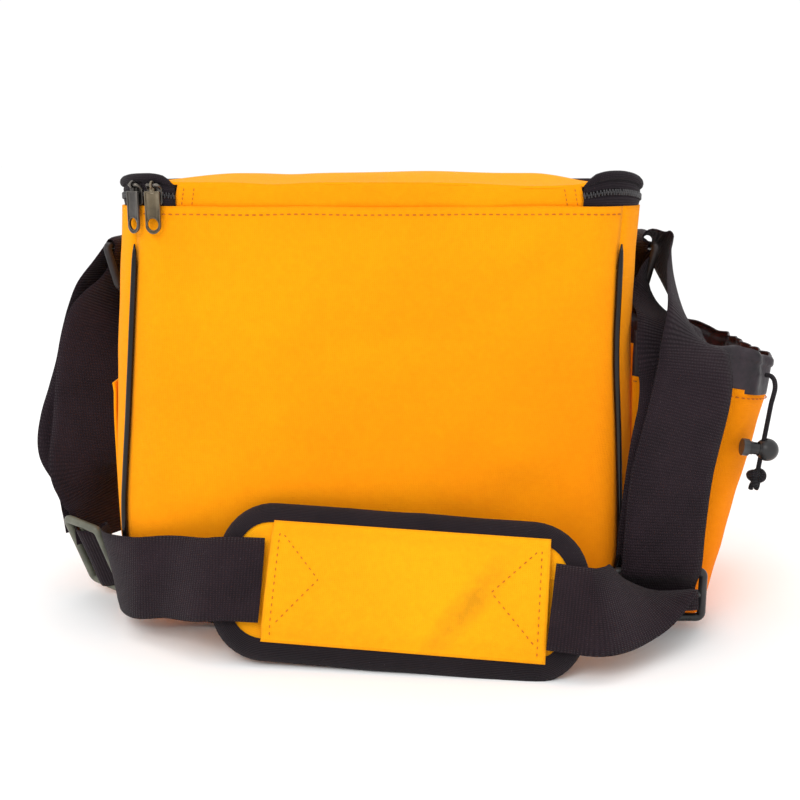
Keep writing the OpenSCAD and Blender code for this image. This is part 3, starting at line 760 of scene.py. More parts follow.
def seam_path(top, lift):
    """The piped seam on the hinge side, raised off the cloth."""
    path = []
    for (x, z), wide in outline_pair(48, 30, 60):
        if z > top:
            continue
        depth = face_depth(x, z)
        out = Vector((0.55 * sign(x) * ease(z, 6, 40), 0, -0.45 * (1 - ease(z, 4, 40))))
        x = shifted(x, z)
        path.append((x + out.x * lift, -depth - 0.75 * lift, z + max(out.z * lift, -0.6)))
    return path


def bag_body():
    front = sheet_mesh("hinge_side_canvas", face_rows(-1), canvas, t=1.5, offset=-1)
    stands(front, "canvas", "hinge_side_panel")
    back = sheet_mesh("zip_side_canvas", face_rows(1), canvas, t=1.5, offset=-1, flip=True)
    stands(back, "canvas", "zip_side_panel")
    band = sheet_mesh("gusset_canvas", gusset_rows(), canvas, t=1.5, offset=1, flip=True)
    stands(band, "canvas", "gusset")
    path = seam_path(BODY_H - 22, 2.0)
    for name, way in (("front_piping", 1), ("back_piping", -1)):
        cord = tube(name + "_vinyl", [(x, way * y, z) for x, y, z in path], 1.8, piping_gloss,
                    taper=4)
        stands(cord, "piping", name)
    hem = []
    for x in range(-144, 145, 3):
        z = BODY_H - 4.6 + 0.5 * wrinkle((x, 0, 0), 40, 6)
        hem.append((x, -face_depth(x, z) - 0.1, z + rim_sag(x, z)))
    stitches("top_stitching", hem, (0, -1, 0.1))
    hem = [(-x, -y, z) for x, y, z in hem]
    stitches("back_top_stitching", hem, (0, 1, 0.1))


def bag_inside():
    """The coated lining, the foam behind it and the stiff board on its floor."""
    for name, node, inset, t, top, material in (
            ("lining", "lining", 7.0, 0.8, BODY_H - 7, lining_cloth),
            ("foam", "wall_foam", 3.2, 2.6, BODY_H - 8, foam_grey)):
        for side, way in (("hinge_side", -1), ("zip_side", 1)):
            wall = sheet_mesh(name + "_" + side, face_rows(way, inset, top, 40, 30), material,
                              t=t, offset=-1, flip=way > 0)
            stands(wall, name, node)
        band = sheet_mesh(name + "_band", gusset_rows(inset, top, 24), material, t=t,
                          offset=1, flip=True)
        stands(band, name, node)
    repaint("base_board", board_grey)


# ---------------------------------------------------------------- zip band and lid
def spread(x):
    """The zip's sides follow the swollen sides of the bag."""
    return x + sign(x) * (4.0 if x > 0 else 2.0) * ease(abs(x), 138, 155)


def rim_path(inset, step=2.0):
    """Plan path of the zip: from the strip's left end round the far side to its right end."""
    r = CORNER_R - inset
    w, d = HALF_W - inset, HALF_D - inset
    start = STRIP_HALF + 2
    points = []

    def line(a, b):
        n = max(int((Vector(b) - Vector(a)).length / step), 1)
        points.extend([Vector(a).lerp(Vector(b), i / n) for i in range(n)])

    def arc(cx, cy, a, b):
        n = max(int(math.radians(abs(b - a)) * r / step), 2)
        for i in range(n):
            t = math.radians(a + (b - a) * i / n)
            points.append(Vector((cx + r * math.cos(t), cy + r * math.sin(t))))

    line((-start, -d), (-CORNER_X, -d))
    arc(-CORNER_X, -CORNER_Y, 270, 180)
    line((-w, -CORNER_Y), (-w, CORNER_Y))
    arc(-CORNER_X, CORNER_Y, 180, 90)
    line((-CORNER_X, d), (CORNER_X, d))
    arc(CORNER_X, CORNER_Y, 90, 0)
    line((w, CORNER_Y), (w, -CORNER_Y))
    arc(CORNER_X, -CORNER_Y, 0, -90)
    line((CORNER_X, -d), (start, -d))
    points.append(Vector((start, -d)))
    return [Vector((spread(p.x), p.y)) for p in points]


def outward(points, i):
    a = points[max(i - 1, 0)]
    b = points[min(i + 1, len(points) - 1)]
    t = (b - a).normalized()
    return Vector((-t.y, t.x))


def rim_rise(p):
    """The lid's edge humps over the front corners and sinks behind them."""
    near = 1 - ease(p.y, -HALF_D + 4, -HALF_D + 28)
    hump = ease(abs(p.x), STRIP_HALF, STRIP_HALF + 18) * near
    back = ease(p.y, -HALF_D + 4, -HALF_D + 40)
    rise = 4.0 * hump - 3.5 * back if p.x > 0 else 2.5 * hump - 1.5 * back
    return rise - (2.0 if p.x < 0 else 0.0) * ease(p.y, -30, 60)


COIL_PITCH = 1.9


def on_lid(made, slot, node):
    """Cloth of the lid: applies its modifiers and its place into the mesh, and hides the CAD node
    it stands for.
    """
    bake(made)
    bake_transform(made)
    stands(made, slot, node)


def band_rows(levels):
    """Rows of an upright band on the zip path; each level is (height, outward shift, rise)."""
    path = rim_path(1.8)
    rows = []
    for z, shift, rise in levels:
        row = []
        for i, p in enumerate(path):
            n = outward(path, i)
            wave = 0.35 * wrinkle((p.x, p.y, z), 18, 3)
            row.append((p.x + n.x * (shift + wave), p.y + n.y * (shift + wave),
                        z + rise * rim_rise(p)))
        rows.append(row)
    return rows


def tooth_row(name, way):
    """The coil's lower (-1) or upper (1) half: nylon loops that hook between the other's."""
    path = rim_path(1.2, 0.5)
    verts, faces = [], []
    run = 0.0
    due = 0.5 * COIL_PITCH if way > 0 else 0.0
    for i in range(1, len(path)):
        run += (path[i] - path[i - 1]).length
        if run < due:
            continue
        due += COIL_PITCH
        p, n = path[i], outward(path, i)
        t = Vector((n.y, -n.x))
        z = TEETH_Z + 0.45 * way + rim_rise(p) * 0.6
        base = len(verts)
        for up, scale in ((-1.55, 0.55), (-1.0, 1.0), (0.6, 1.0), (1.35, 0.6)):
            for a, b in ((-0.5, -0.9), (0.5, -0.9), (0.62, 0.35), (0.3, 1.15), (-0.3, 1.15),
                         (-0.62, 0.35)):
                q = p + t * a * scale * 0.98 + n * (b * scale + 0.5)
                verts.append((q.x, q.y, z + up * -way))
        for ring in range(3):
            for j in range(6):
                k = (j + 1) % 6
                a = base + ring * 6
                quad = (a + j, a + k, a + 6 + k, a + 6 + j)
                faces.append(quad if way < 0 else quad[::-1])
        cap = tuple(range(base, base + 6))
        end = tuple(range(base + 18, base + 24))
        faces.extend([cap[::-1], end] if way < 0 else [cap, end[::-1]])
    return piece(name, verts, faces, tooth_nylon, None if way > 0 else "root")


def zip_band():
    low = sheet_mesh("lower_zip_cloth", band_rows([
        (BODY_H - 7, -2, 0), (BODY_H - 2, -0.8, 0), (BODY_H + 1, 0.6, 0.1),
        (BODY_H + 3, 1.0, 0.3),
        (TEETH_Z - 1.6, 0.9, 0.5), (TEETH_Z - 0.5, 0.3, 0.6)]), tape_cloth, t=0.7)
    stands(low, "tape", "lower_zip_tape")
    high = sheet_mesh("upper_zip_cloth", band_rows([
        (TEETH_Z + 0.5, 0.3, 0.6), (TEETH_Z + 1.8, 0.9, 0.7), (TEETH_Z + 4, 1.0, 0.9),
        (LID_TOP - 1.2, 0.2, 1)]), tape_cloth, body=None, t=0.7)
    on_lid(high, "tape", "upper_zip_tape")
    stands(tooth_row("lower_coil", -1), "zip_teeth", "lower_zip_teeth")
    on_lid(tooth_row("upper_coil", 1), "zip_teeth", "upper_zip_teeth")
    # the binding rolled over the lid's edge
    path = rim_path(1.0, 2.5)
    edge = [(p.x, p.y, LID_TOP + 0.2 + rim_rise(p) + 0.25 * wrinkle((p.x, p.y, 0), 14, 9)
             - 3.5 * (1 - ease(abs(p.x) - STRIP_HALF, 0, 10)) * (p.y < 0)) for p in path]
    binding = tube("lid_edge_binding", edge, 2.3, tape_cloth, None, 12, flat=1.15, taper=3)
    on_lid(binding, "tape", "lid_binding")
    # folded ends beside the hinge strip
    for name, sign in (("zip_end_left", -1), ("zip_end_right", 1)):
        x0 = sign * (STRIP_HALF - 4)
        x1 = sign * (STRIP_HALF + 6)
        rows = []
        for i in range(8):
            z = BODY_H - 2 + (LID_TOP - 3 - BODY_H + 2) * i / 7
            slant = sign * 4.5 * (1 - i / 7)
            rows.append([(x0 + (x1 - x0) * j / 6 + slant, -HALF_D + 3.0 - 0.7 * math.sin(
                math.pi * j / 6), z) for j in range(7)])
        fold = sheet_mesh(name + "_fold", rows, tape_cloth, t=0.7, flip=sign < 0)
        stands(fold, "tape", name)
    corner = sheet_mesh("zip_corner_backing", [
        [(p.x, p.y, z) for p in rim_path(3.0, 2.5)[:26]]
        for z in (BODY_H - 6, BODY_H + 2, TEETH_Z, LID_TOP - 3)], tape_cloth, t=0.6)
    stands(corner, "tape", "zip_corner_left")


def lid_height(x, y):
    """Top of the lid: level at the hinge, gently crowned and uneven behind it."""
    inside = ease(HALF_W - abs(x), 0, 60) * ease(y + HALF_D, 0, 60) * ease(HALF_D - y, 0, 60)
    z = LID_TOP + 4.4 * inside + rim_rise(Vector((x, y))) * (1 - inside)
    z += 1.6 * wrinkle((x, y, 0), 62, 21) * ease(y + HALF_D, 0, 25)
    z -= 2.2 * math.exp(-((x - 92) / 34) ** 2) * math.exp(-((y + HALF_D) / 30) ** 2)
    z -= 1.2 * math.exp(-((x + 62) / 16) ** 2)
    return z


def lid():
    rows, inner = [], []
    steps_y, steps_x = 60, 96
    for i in range(steps_y + 1):
        y = -HALF_D + 0.6 + (2 * HALF_D - 3.0) * i / steps_y
        over = max(abs(y) - CORNER_Y, 0)
        half = CORNER_X + math.sqrt(max(CORNER_R ** 2 - over ** 2, 0)) - 1.8
        row = []
        for j in range(steps_x + 1):
            x = half * (2 * j / steps_x - 1)
            row.append((spread(x), y, lid_height(x, y)))
        rows.append(row)
        if abs(y) < HALF_D - 7:
            inner.append([(x * (half - 6) / half, y, z - 7.4) for x, y, z in row])
    top = sheet_mesh("lid_canvas", rows, canvas, body=None, t=1.5, offset=-1)
    on_lid(top, "canvas", "lid_panel")
    under = sheet_mesh("lid_lining_sheet", inner, lining_cloth, body=None, t=1.0, offset=-1)
    on_lid(under, "lining", "lid_lining")
    core_rows = [[(x, y, z + 2.6) for x, y, z in row] for row in inner]
    core = sheet_mesh("lid_foam_core", core_rows, foam_grey, body=None, t=4.0, offset=0)
    on_lid(core, "foam", "lid_foam")
    # hinge strip, from behind the face's folded edge up to the lid's seam
    strip = []
    for i in range(13):
        t = i / 12
        row = []
        for j in range(81):
            x = -STRIP_HALF - 4.5 * (1 - t) + (2 * STRIP_HALF + 9 * (1 - t)) * j / 80
            high = lid_height(x, -HALF_D + 0.6) - 0.2
            z = BODY_H - 6 + (high - BODY_H + 6) * t
            y = -HALF_D + 2.4 - 1.9 * ease(t, 0.3, 1) + 0.5 * wrinkle((x, 0, z), 24, 31)
            row.append((x, y - 0.5 * math.sin(math.pi * t), z))
        strip.append(row)
    made = sheet_mesh("hinge_strip_canvas", strip, canvas, t=1.0, offset=-1)
    stands(made, "canvas", "hinge_strip")
    for side in (-1, 1):
        for n, inward in enumerate((4.0, 10.0)):
            path = []
            for i in range(4, 12):
                t = i / 12
                x = side * (STRIP_HALF - inward + 4.0 * (1 - t))
                p = strip[i][min(range(81), key=lambda j: abs(strip[i][j][0] - x))]
                path.append((x, p[1] - 0.1, p[2]))
            name = "strip_stitches_%s_%d" % ("left" if side < 0 else "right", n + 1)
            stitches(name, path, (0, -1, 0), length=1.8, gap=0.9, r=0.3)


# ---------------------------------------------------------------- sliders and pull tabs
SLIDER_ANGLES = {"slider_a": 13.5, "slider_b": 38.0}
SLIDER_Z = 270.0
PIVOT_R = 33.2
PIVOT_Z = 276.5


def at_corner(angle):
    """Frame on the left front corner: -Y outward, X along the zip."""
    turn = Matrix.Rotation(math.radians(-angle), 4, "Z")
    return Matrix.Translation(Vector((-CORNER_X, -CORNER_Y, 0))) @ turn


def plate_with_hole(name, outer, inner, t, place, material, body):
    """Flat plate between two outlines of equal count, in local X and Z, t thick along Y."""
    n = len(outer)
    rings = [(outer, -t / 2), (outer, t / 2), (inner, t / 2), (inner, -t / 2)]
    verts = [place @ Vector((x, y, z)) for ring, y in rings for x, z in ring]
    faces = []
    for a in range(4):
        b = (a + 1) % 4
        for j in range(n):
            k = (j + 1) % n
            faces.append((a * n + j, b * n + j, b * n + k, a * n + k))
    return soften(piece(name, verts, faces, material, body), 0.3)


def join(name, parts):
    """Join pieces that are one casting, keeping the first one's body."""
    for part in parts:
        bake(part)
    bpy.ops.object.select_all(action="DESELECT")
    for part in parts:
        part.select_set(True)
    bpy.context.view_layer.objects.active = parts[0]
    bpy.ops.object.join()
    parts[0].name = name
    return parts[0]


def solid_plate(name, outline, y0, y1, place, material, body, bevel=0.35):
    n = len(outline)
    verts = [place @ Vector((x, y, z)) for y in (y0, y1) for x, z in outline]
    faces = [tuple(range(n)), tuple(range(2 * n - 1, n - 1, -1))]
    faces += [(j, j + n, (j + 1) % n + n, (j + 1) % n) for j in range(n)]
    return soften(piece(name, verts, faces, material, body), bevel)


def sliders():
    # slider_a's pull wears the brown-tinted metal, a painted reflection of the orange canvas
    pull_paint = {"slider_a": pull_metal, "slider_b": pull_metal_dark}
    for name, angle in SLIDER_ANGLES.items():
        place = at_corner(angle)
        face = [(x, z + SLIDER_Z) for x, z in rounded_outline(4.8, 5.2, 2.2)]
        out_r = CORNER_R - 1.1
        parts = [
            solid_plate("front", face, -out_r - 1.6, -out_r - 0.2, place, slider_metal, name),
            solid_plate("back", face, -out_r + 2.6, -out_r + 3.8, place, slider_metal, name),
        ]
        post = [(x, z + SLIDER_Z) for x, z in rounded_outline(2.0, 0.9, 0.6)]
        parts.append(solid_plate("post", post, -out_r - 0.4, -out_r + 2.8, place, slider_metal,
                                 name, 0.1))
        arch = [(-4.0, -out_r - 0.6, PIVOT_Z - 3.0), (-3.9, -out_r - 2.0, PIVOT_Z - 1.2),
                (-3.1, -PIVOT_R + 0.1, PIVOT_Z), (-1.6, -PIVOT_R - 0.2, PIVOT_Z),
                (0, -PIVOT_R - 0.2, PIVOT_Z), (1.6, -PIVOT_R - 0.2, PIVOT_Z),
                (3.1, -PIVOT_R + 0.1, PIVOT_Z), (3.9, -out_r - 2.0, PIVOT_Z - 1.2),
                (4.0, -out_r - 0.6, PIVOT_Z - 3.0)]
        bridge = [place @ Vector(p) for p in spline(arch, 3)]
        parts.append(tube("bridge", bridge, 0.95, slider_metal, name, 10))
        made = join(name + "_casting", parts)
        stands(made, "slider_metal", name)

        tab = name.replace("slider", "pull")
        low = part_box(tab)[0].z / MM
        half = 4.7
        end = low + half
        top = PIVOT_Z - 3.6
        outer, hole = [], []
        for a in turns(32):
            x, z = math.cos(a), math.sin(a)
            high = top - 1.2 if z > 0 else end
            square = max(abs(x), abs(z)) if z > 0 else 1.0
            outer.append((half * x / square, (high + 1.2 * z / square) if z > 0
                          else end + half * z))
            hole.append((3.6 * x, end + 0.6 + 3.6 * z))
        paint = pull_paint[name]
        shift = place @ Matrix.Translation(Vector((0, -PIVOT_R, 0)))
        parts = [plate_with_hole("tab", outer, hole, 1.5, shift, paint, tab)]
        rim = [shift @ Vector((x * 0.93, -0.8, z if z < top - 2 else z - 0.4)) for x, z in outer]
        parts.append(tube("rim", rim, 0.42, paint, tab, 8, closed=True))
        ring = [shift @ Vector((3.8 * math.cos(a), -0.8, end + 0.6 + 3.8 * math.sin(a)))
                for a in turns(24)]
        parts.append(tube("hole_rim", ring, 0.35, paint, tab, 8, closed=True))
        neck = [(x, z + PIVOT_Z - 3.4) for x, z in rounded_outline(1.5, 1.9, 0.6)]
        parts.append(solid_plate("neck", neck, -0.9, 0.9, shift, paint, tab, 0.25))
        eye = [shift @ Vector((0, 1.85 * math.cos(a), PIVOT_Z + 1.85 * math.sin(a)))
               for a in turns(20)]
        parts.append(tube("eye", eye, 0.75, paint, tab, 8, closed=True))
        made = join(tab + "_tab", parts)
        stands(made, "pull_metal", tab)


# ---------------------------------------------------------------- webbing, rings and adjusters
def ribbon_rows(stations, steps=8, across=10):
    """Closed cross-sections of a strap: flat faces, full rounded selvages."""
    centres = spline([s[0] for s in stations], steps)
    widths = spline([Vector(s[1]).normalized() for s in stations], steps)
    rows = []
    for i, c in enumerate(centres):
        tangent = (centres[min(i + 1, len(centres) - 1)] - centres[max(i - 1, 0)]).normalized()
        normal = tangent.cross(widths[i]).normalized()
        width = normal.cross(tangent).normalized()
        ring = []
        for side in (1, -1):
            for j in range(across + 1):
                u = (2 * j / across - 1) * side
                lift = WEBBING_T / 2 * (1 - abs(u) ** 10 * 0.75)
                cup = 0.7 * (u * u - 0.4) + 0.35 * wrinkle((*c,), 22, 7)
                ring.append(c + width * u * WEBBING_W / 2 + normal * (side * lift + cup))
        rows.append(ring)
    return rows


def ribbon(name, stations, *nodes):
    rows = ribbon_rows(stations)
    across = len(rows[0]) // 2
    verts = [p for row in rows for p in row]
    uv, faces = [], []
    run = 0.0
    for i, row in enumerate(rows):
        if i:
            run += (row[across // 2] - rows[i - 1][across // 2]).length
        for j in range(2 * across):
            place = j if j < across else 2 * across - 1 - j
            uv.append((WEBBING_W * place / (across - 1) * MM, run * MM))
    count = 2 * across
    for i in range(len(rows) - 1):
        for j in range(count):
            k = (j + 1) % count
            faces.append((i * count + j, i * count + k, (i + 1) * count + k, (i + 1) * count + j))
    faces.append(tuple(range(count))[::-1])
    faces.append(tuple((len(rows) - 1) * count + j for j in range(count)))
    made = piece(name, verts, faces, webbing_cloth, "root", uv)
    stands(made, "webbing", *nodes)


def bar_loop(name, long, short, bar, place, material, middle=False):
    """Moulded rectangular loop: long runs along local Y, short along local X."""
    path = [place @ Vector((x, y, 0)) for x, y in rounded_outline(
        (short - bar) / 2, (long - bar) / 2, 3.2, 5)]
    parts = [tube("loop", path, bar / 2, material, sides=14, closed=True)]
    if middle:
        ends = [place @ Vector((0, s * (long - bar) / 2, 0)) for s in
                (-1, -0.9, -0.5, 0, 0.5, 0.9, 1)]
        parts.append(tube("middle_bar", ends, bar / 2 * 0.85, material))
    return join(name, parts)


def rings_and_tabs():
    for name, side in (("left", -1), ("right", 1)):
        node = "ring_" + name
        base = Vector((165 * side, 0, 210))
        turn = Matrix.Rotation(math.radians(12 * side), 4, "Z")
        lean = Matrix.Rotation(math.radians((-90 + 15) * side), 4, "Y")
        place = Matrix.Translation(base) @ turn @ lean @ Matrix.Translation(
            Vector((13.5 * side, 0, 0)))
        ring = bar_loop(node + "_loop", 64, 32, 5.2, place, ring_plastic)
        stands(ring, "black_plastic", node)
        # tab webbing: up from the stitched end, round the ring's lower bar and down again
        loop = [(3.9 * math.cos(math.radians(a)), 3.9 * math.sin(math.radians(a)))
                for a in range(200, -41, -20)]
        profile = [(-6.3, -30), (-6.2, -20), (-6.1, -8)] + loop + [(1.4, -7.5), (-4.0, -15)]
        rows = []
        for j in range(9):
            y = -23.5 + 47 * j / 8
            row = []
            for x, z in profile:
                far = Matrix.Rotation(math.radians(12 * side * ease(z, -14, 0)), 3, "Z") @ Vector(
                    (x * side, y, z))
                limit = HALF_W + level(SIDE_SHIFT[side > 0], base.z + z) + 1.2
                px = base.x + far.x
                if abs(px) < limit:
                    px = limit * side
                row.append((px, far.y, base.z + far.z))
            rows.append(row)
        tab = sheet_mesh("ring_tab_%s_webbing" % name, rows, webbing_cloth, t=1.6, offset=0,
                         flip=side < 0)
        stands(tab, "webbing", "ring_tab_" + name)


def straps():
    corner = [((-151, -104, 38.5), (0.02, -0.25, -0.96)), ((-168, -86, 35.5), (0.1, -0.05, -0.98)),
              ((-176, -66, 33), (0.15, 0.2, -0.96))]
    ribbon("left_front_webbing", FRONT_LEFT[:6:-1] + corner + FRONT_LEFT[4::-1],
           "strap_front_left")
    low = [((-202, -12, 42), (-0.5, -0.85, 0)), ((-204, -10, 56), (-0.52, -0.85, 0))]
    over = [((-171.8, 1.5, 240.6), (-0.21, -0.98, 0))]
    foot = [((-196, -18, 50), (-0.4, -0.9, 0)), ((-194, -20, 36), (-0.4, -0.9, 0))]
    ribbon("left_side_webbing", low + INNER_LEFT[1:] + over + OUTER_LEFT[::-1] + foot,
           "strap_inner_left", "strap_outer_left")
    slack = [((190, -91, 153), (0.97, 0.1, -0.2)), ((192, -86, 171), (0.85, 0.1, -0.5)),
             ((191, -76, 187), (0.65, 0, -0.76)), ((190, -50, 199), (0.45, 0.3, -0.84)),
             ((191, -28, 209), (0.3, 0.5, -0.8)), ((190, -12, 222), (0.1, 0.85, -0.5)),
             ((187, -4, 234), (-0.2, 0.98, 0)), ((181, -1, 241), (-0.21, 0.98, 0)),
             ((174, 1.2, 241.5), (-0.21, 0.98, 0))]
    right = FRONT_RIGHT + OUTER_RIGHT[:8] + slack
    right += INNER_RIGHT[::-1] + [((175, -86, 20), (1, 0, 0))]
    ribbon("right_webbing", right, "strap_front_right", "strap_outer_right",
           "strap_inner_right")
    place = Matrix.Translation(Vector((-192.7, -42.2, 31.2))) @ Euler(
        (math.radians(114.3), math.radians(4.6), math.radians(-35.6))).to_matrix().to_4x4()
    left_glide = bar_loop("left_triglide", 60, 36, 5.4, place, grey_plastic, middle=True)
    stands(left_glide, "grey_plastic", "triglide_left")
    place = Matrix.Translation(Vector((175, -90, 22))) @ Matrix.Rotation(
        math.radians(-90), 4, "Z") @ Matrix.Rotation(math.radians(90), 4, "Y")
    right_glide = bar_loop("right_triglide", 62, 36, 5.4, place, black_plastic, middle=True)
    stands(right_glide, "black_plastic", "triglide_right")


# ---------------------------------------------------------------- shoulder pad
def pad_point(x, y, z):
    return PAD_AT + PAD_TURN @ Vector((x, y, z))


def pad_outline(inset, n=10):
    """The cushion's uneven outline, drawn in by inset."""
    out = rounded_outline(PAD_LEN / 2 - inset, PAD_W / 2 - inset, max(34 - inset, 1.0), n)
    out = [(x + 0.9 * wrinkle((x, z, 0), 30, 61), z + 1.1 * wrinkle((x, z, 5), 38, 62))
           for x, z in out]
    dense = []
    for i, (a, b) in enumerate(zip(out, out[1:] + out[:1])):
        steps = 14 if i % (n + 1) == n else 1
        for k in range(steps):
            x, z = a[0] + (b[0] - a[0]) * k / steps, a[1] + (b[1] - a[1]) * k / steps
            dense.append((x, z + 1.0 * math.sin(math.pi * k / steps)
                          * wrinkle((x, sign(z), 0), 34, 63)))
    return dense


def pad_face(x, z, d, extra=0.0):
    """Half thickness of the cushion at a distance d from its edge."""
    round_edge = math.sqrt(max(1 - (1 - min(d / 7, 1)) ** 2, 0))
    return (PAD_T / 2 + extra) * round_edge + 1.2 * ease(d, 8, 40) + 0.5 * wrinkle((x, 0, z), 24, 3)


def pad_rings(insets, extra, sides):
    rows = []
    for side, d in [(s, d) for s in sides for d in (insets if s < 0 else insets[::-1])]:
        rows.append([pad_point(x, side * pad_face(x, z, d, extra), z)
                     for x, z in pad_outline(d)])
    return rows


def sleeve_point(x, z, lift):
    """Point of the panel over the webbing, raised where the webbing runs under it."""
    raise_up = 2.6 * (1 - ease(abs(z), 25, 34))
    y = -pad_face(x, z, max(PAD_W / 2 - abs(z), 12)) - lift - raise_up
    return pad_point(x, y - 0.7 * wrinkle((x, 0, z), 16, 14) * ease(x, 20, 70), z)


def shoulder_pad():
    fine = [12.0, 13.0, 16, 20, 25, 30, 36, 42, 48]
    front = sheet_mesh("pad_front_canvas", pad_rings(fine, 0, (-1,)), pad_canvas, closed=True)
    back = sheet_mesh("pad_back_mesh", pad_rings(fine, 0, (1,)), tape_cloth, closed=True)
    edge = pad_rings([12.5, 12.0, 9.0, 6.0, 3.5, 1.6, 0.5, 0.0], 0.9, (-1,))
    edge += pad_rings([0.0, 0.5, 1.6, 3.5, 6.0, 9.0, 12.0, 12.5][::-1], 0.9, (1,))
    binding = sheet_mesh("pad_edge_binding", edge, tape_cloth, closed=True)
    stands(binding, "tape", "pad_binding")
    cover = join("pad_cover", [front, back])
    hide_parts("shoulder_pad", "pad_foam")
    rows = []
    z_half = PAD_W / 2 - 11
    for i in range(31):
        z = -z_half + 2 * z_half * i / 30
        rows.append([sleeve_point(SLEEVE[0] + (SLEEVE[1] - SLEEVE[0]) * j / 60, z, 0.9)
                     for j in range(61)])
    sleeve = sheet_mesh("pad_sleeve_canvas", rows, pad_canvas, t=1.1, offset=0)
    stands(sleeve, "canvas", "pad_sleeve")
    out = PAD_TURN @ Vector((0, -1, 0))
    lines = {"sleeve_stitches_left": [(SLEEVE[0] + 5, z) for z in range(-33, 34, 4)],
             "sleeve_stitches_right": [(SLEEVE[1] - 5, z) for z in range(-33, 34, 4)]}
    for name, x0, tip in (("left", SLEEVE[0] + 7, SLEEVE[0] + 31),
                          ("right", SLEEVE[1] - 7, SLEEVE[1] - 33)):
        lines["sleeve_triangle_" + name] = [
            (x0 + (tip - x0) * k / 8, 28 - 26 * k / 8) for k in range(9)] + [
            (tip + (x0 - tip) * k / 8, 2 - 28 * k / 8) for k in range(1, 9)]
    for name, line in lines.items():
        path = [sleeve_point(x, z, 1.6) for x, z in line]
        stitches(name, path, out, length=2.0, gap=2.2, r=0.34)


# ---------------------------------------------------------------- pockets
POCKET_HALF = 70.0
POCKET_FOOT = 215.0
POCKET_MOUTH = 250.0
POCKET_H = 158.0
RIM_DROP = 16.0
RIM_RISE = 4.0  # the drawn rim stands this much over the CAD part's
POCKET_MID_X = 195
COLLAR_FOOT = 150
SLIP_HEM_Z = 146


def body_edge(z):
    """Where the bag's side is, at height z."""
    arc = math.sqrt(LOW_R ** 2 - max(LOW_R - z, 0) ** 2)
    return shifted(HALF_W - LOW_R + arc, z, 1)


def pocket_ring(z, grow=0.0):
    """Plan outline of the pocket at height z, from the bag round the pocket and back."""
    out_x = POCKET_FOOT + (POCKET_MOUTH - POCKET_FOOT) * z / POCKET_H + grow
    r = 20 + 5 * z / POCKET_H
    d = POCKET_HALF + grow * 0.4
    start = body_edge(min(z, COLLAR_FOOT)) - 1
    points = []
    for i in range(24):
        points.append((start + (out_x - r - start) * i / 24, -d))
    for i in range(14):
        a = math.radians(-90 + 90 * i / 14)
        points.append((out_x - r + r * math.cos(a), -d + r + r * math.sin(a)))
    for i in range(30):
        points.append((out_x, -d + r + (2 * d - 2 * r) * i / 30))
    for i in range(14):
        a = math.radians(90 * i / 14)
        points.append((out_x - r + r * math.cos(a), d - r + r * math.sin(a)))
    for i in range(25):
        points.append((out_x - r + (start - out_x + r) * i / 24, d))
    return points


def rim_height(x):
    return POCKET_H + RIM_RISE - RIM_DROP * (x - HALF_W) / (POCKET_MOUTH - HALF_W)


def pocket_surface(p, t, lift=0.0):
    """Point at height share t of the pocket wall, with its folds."""
    x, y = p
    z = 0.4 + (rim_height(x) - 0.4) * t
    far = ease(x, HALF_W, HALF_W + 30)
    fold = 1.8 * wrinkle((x, y, z), 42, 51) + 0.6 * wrinkle((x, y, z), 17, 52)
    pull = 1.4 * math.sin(y / 9.0) * (t ** 3) * ease(x, 225, 240)
    n = Vector((x - POCKET_MID_X, y * 0.9)).normalized()
    push = (fold * far * math.sin(math.pi * min(t * 0.95 + 0.05, 1)) + pull + lift)
    return (x + n.x * push, y + n.y * push, z)


def bottle_pocket():
    rows = []
    for i in range(45):
        t = i / 44
        rows.append([pocket_surface(p, t) for p in pocket_ring(t * COLLAR_FOOT)])
    wall = sheet_mesh("pocket_canvas", rows, canvas, t=1.4, offset=-1)
    stands(wall, "canvas", "bottle_pocket")
    ring = pocket_ring(0)
    base_rows = []
    for i in range(9):
        t = i / 8
        base_rows.append([(HALF_W - LOW_R + 14 + (x - HALF_W + LOW_R - 14) * (1 - t),
                           y * (1 - 0.02 * t), 0.5 + 0.4 * math.sin(math.pi * t)) for x, y in ring])
    base = sheet_mesh("pocket_floor_canvas", base_rows, canvas, t=1.2, offset=0)
    stands(base, "canvas", "bottle_pocket_base")
    hem = [pocket_surface(p, 0.965, 0.9) for p in pocket_ring(0.965 * COLLAR_FOOT)]
    hem = stitches("pocket_hem_stitches", hem, lambda q: Vector((q.x - POCKET_MID_X, q.y, 0)))
    # gathered nylon collar with a rolled casing at its top
    rows = []
    for i in range(25):
        t = i / 24
        ring = pocket_ring(COLLAR_FOOT + 18 * t)
        row = []
        run = 0.0
        for j, (x, y) in enumerate(ring):
            run += math.dist(ring[j], ring[j - 1]) if j else 0
            n = Vector((x - POCKET_MID_X, y * 0.9)).normalized()
            gather = 1.5 * math.sin(run / 2.9 + 2.2 * wrinkle((x, y, 0), 20, 9))
            gather += 1.0 * math.sin(run / 5.3 + 3.0 * wrinkle((x, y, 3), 30, 4))
            casing = 1.4 * ease(t, 0.70, 0.78) * (1 - ease(t, 0.92, 1.0))
            push = gather * (0.25 + 0.75 * t) + casing - 2.5 * t * t
            push += 3.0 * math.sin(math.pi * t) * wrinkle((x, y, 5), 34, 6)
            top = 26 + 2.2 * wrinkle((x, y, 1), 16, 17) - 3.5 * ease(x, 232, 250)
            push *= ease(x, HALF_W - 4, HALF_W + 8)
            row.append((x + n.x * push, y + n.y * push, rim_height(x) - 2.5 + (top + 2.5) * t))
        rows.append(row)
    collar = sheet_mesh("pocket_collar_nylon", rows, nylon, t=0.9, offset=-1)
    stands(collar, "nylon", "pocket_collar")


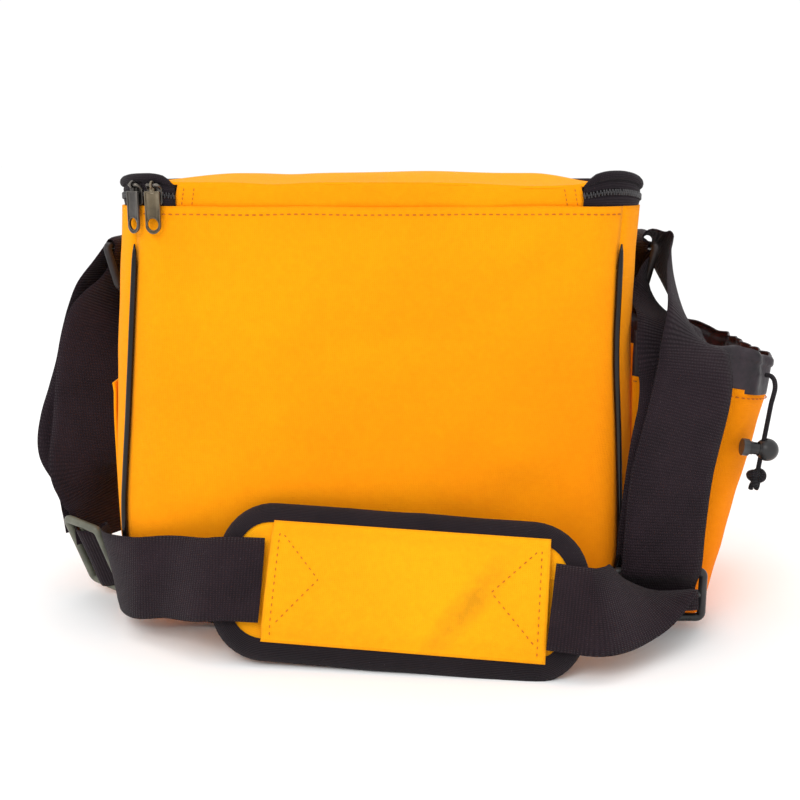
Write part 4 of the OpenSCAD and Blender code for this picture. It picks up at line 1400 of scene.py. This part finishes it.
def slip_pocket():
    """Flat pocket on the left side: a canvas layer on the gusset with a folded hem."""
    low_t, high = 12.0, 155.0
    pairs = [(s, w) for s, w in outline_pair() if s[0] < 0 and low_t < w[1] < high]
    rows = []
    for seam, wide in pairs[::-1]:
        row = []
        for j in range(33):
            y = -58 + 116 * j / 32
            fold = 1.2 * wrinkle((wide[0], y, wide[1]), 44, 77)
            hem = ease(wide[1], SLIP_HEM_Z, SLIP_HEM_Z + 3)
            lift = 3.0 + hem + max(fold, -0.6)
            drop = (LOW_R - wide[1]) / LOW_R if wide[1] < LOW_R else 0
            row.append((shifted(wide[0], wide[1], 1) - lift * (1 - 0.5 * drop), y,
                        wide[1] - lift * 0.3 * drop))
        rows.append(row)
    made = sheet_mesh("slip_pocket_canvas", rows, canvas, t=1.6, offset=1)
    stands(made, "canvas", "slip_pocket", "slip_pocket_hem")
    path = []
    for j in range(30):
        y = -55 + 110 * j / 29
        swell = level(SIDE_SHIFT[LEFT], SLIP_HEM_Z)
        fold = max(1.2 * wrinkle((-HALF_W, y, SLIP_HEM_Z), 44, 77), -0.6)
        path.append((-HALF_W - swell - 3.3 - fold, y, SLIP_HEM_Z))
    stitches("slip_hem_stitches", path, (-1, 0, 0))


# ---------------------------------------------------------------- drawcord, knot and cord lock
def drawcord():
    repaint("cord_lock_body", black_plastic)
    repaint("cord_lock_button", black_plastic)
    repaint("cord_lock_spring", spring_steel)
    # overhand knot: a tight trefoil of the same cord, with two cut tails
    centre = KNOT_AT
    trefoil = []
    for a in turns(60):
        trefoil.append(centre + Vector((1.4 * (math.sin(a) + 2 * math.sin(2 * a)),
                                        -2.2 * math.sin(3 * a),
                                        1.6 * (math.cos(a) - 2 * math.cos(2 * a)))))
    parts = [tube("knot", trefoil, 2.2, cord_braid, "root", 10, closed=True)]
    for side in (-1, 1):
        tail = spline([centre + Vector((side * 0.8, 0, -2)),
                       centre + Vector((side * 1.8 - 1, -1, -5)),
                       centre + Vector((side * 1.6 - 2, -1.5, -8))], 5)
        parts.append(tube("tail", tail, 1.6, cord_braid, "root", 10, taper=2))
    knot = join("cord_knot_twist", parts)
    stands(knot, "cord", "cord_knot")
    route = spline(CORD_ROUTE, 4)
    cord = tube("drawcord_braid", route, CORD_D / 2, cord_braid, "root", 12)
    stands(cord, "cord", "drawcord")


camera_and_light()
drawcord()
bag_body()
bag_inside()
zip_band()
lid()
sliders()
rings_and_tabs()
straps()
shoulder_pad()
bottle_pocket()
slip_pocket()
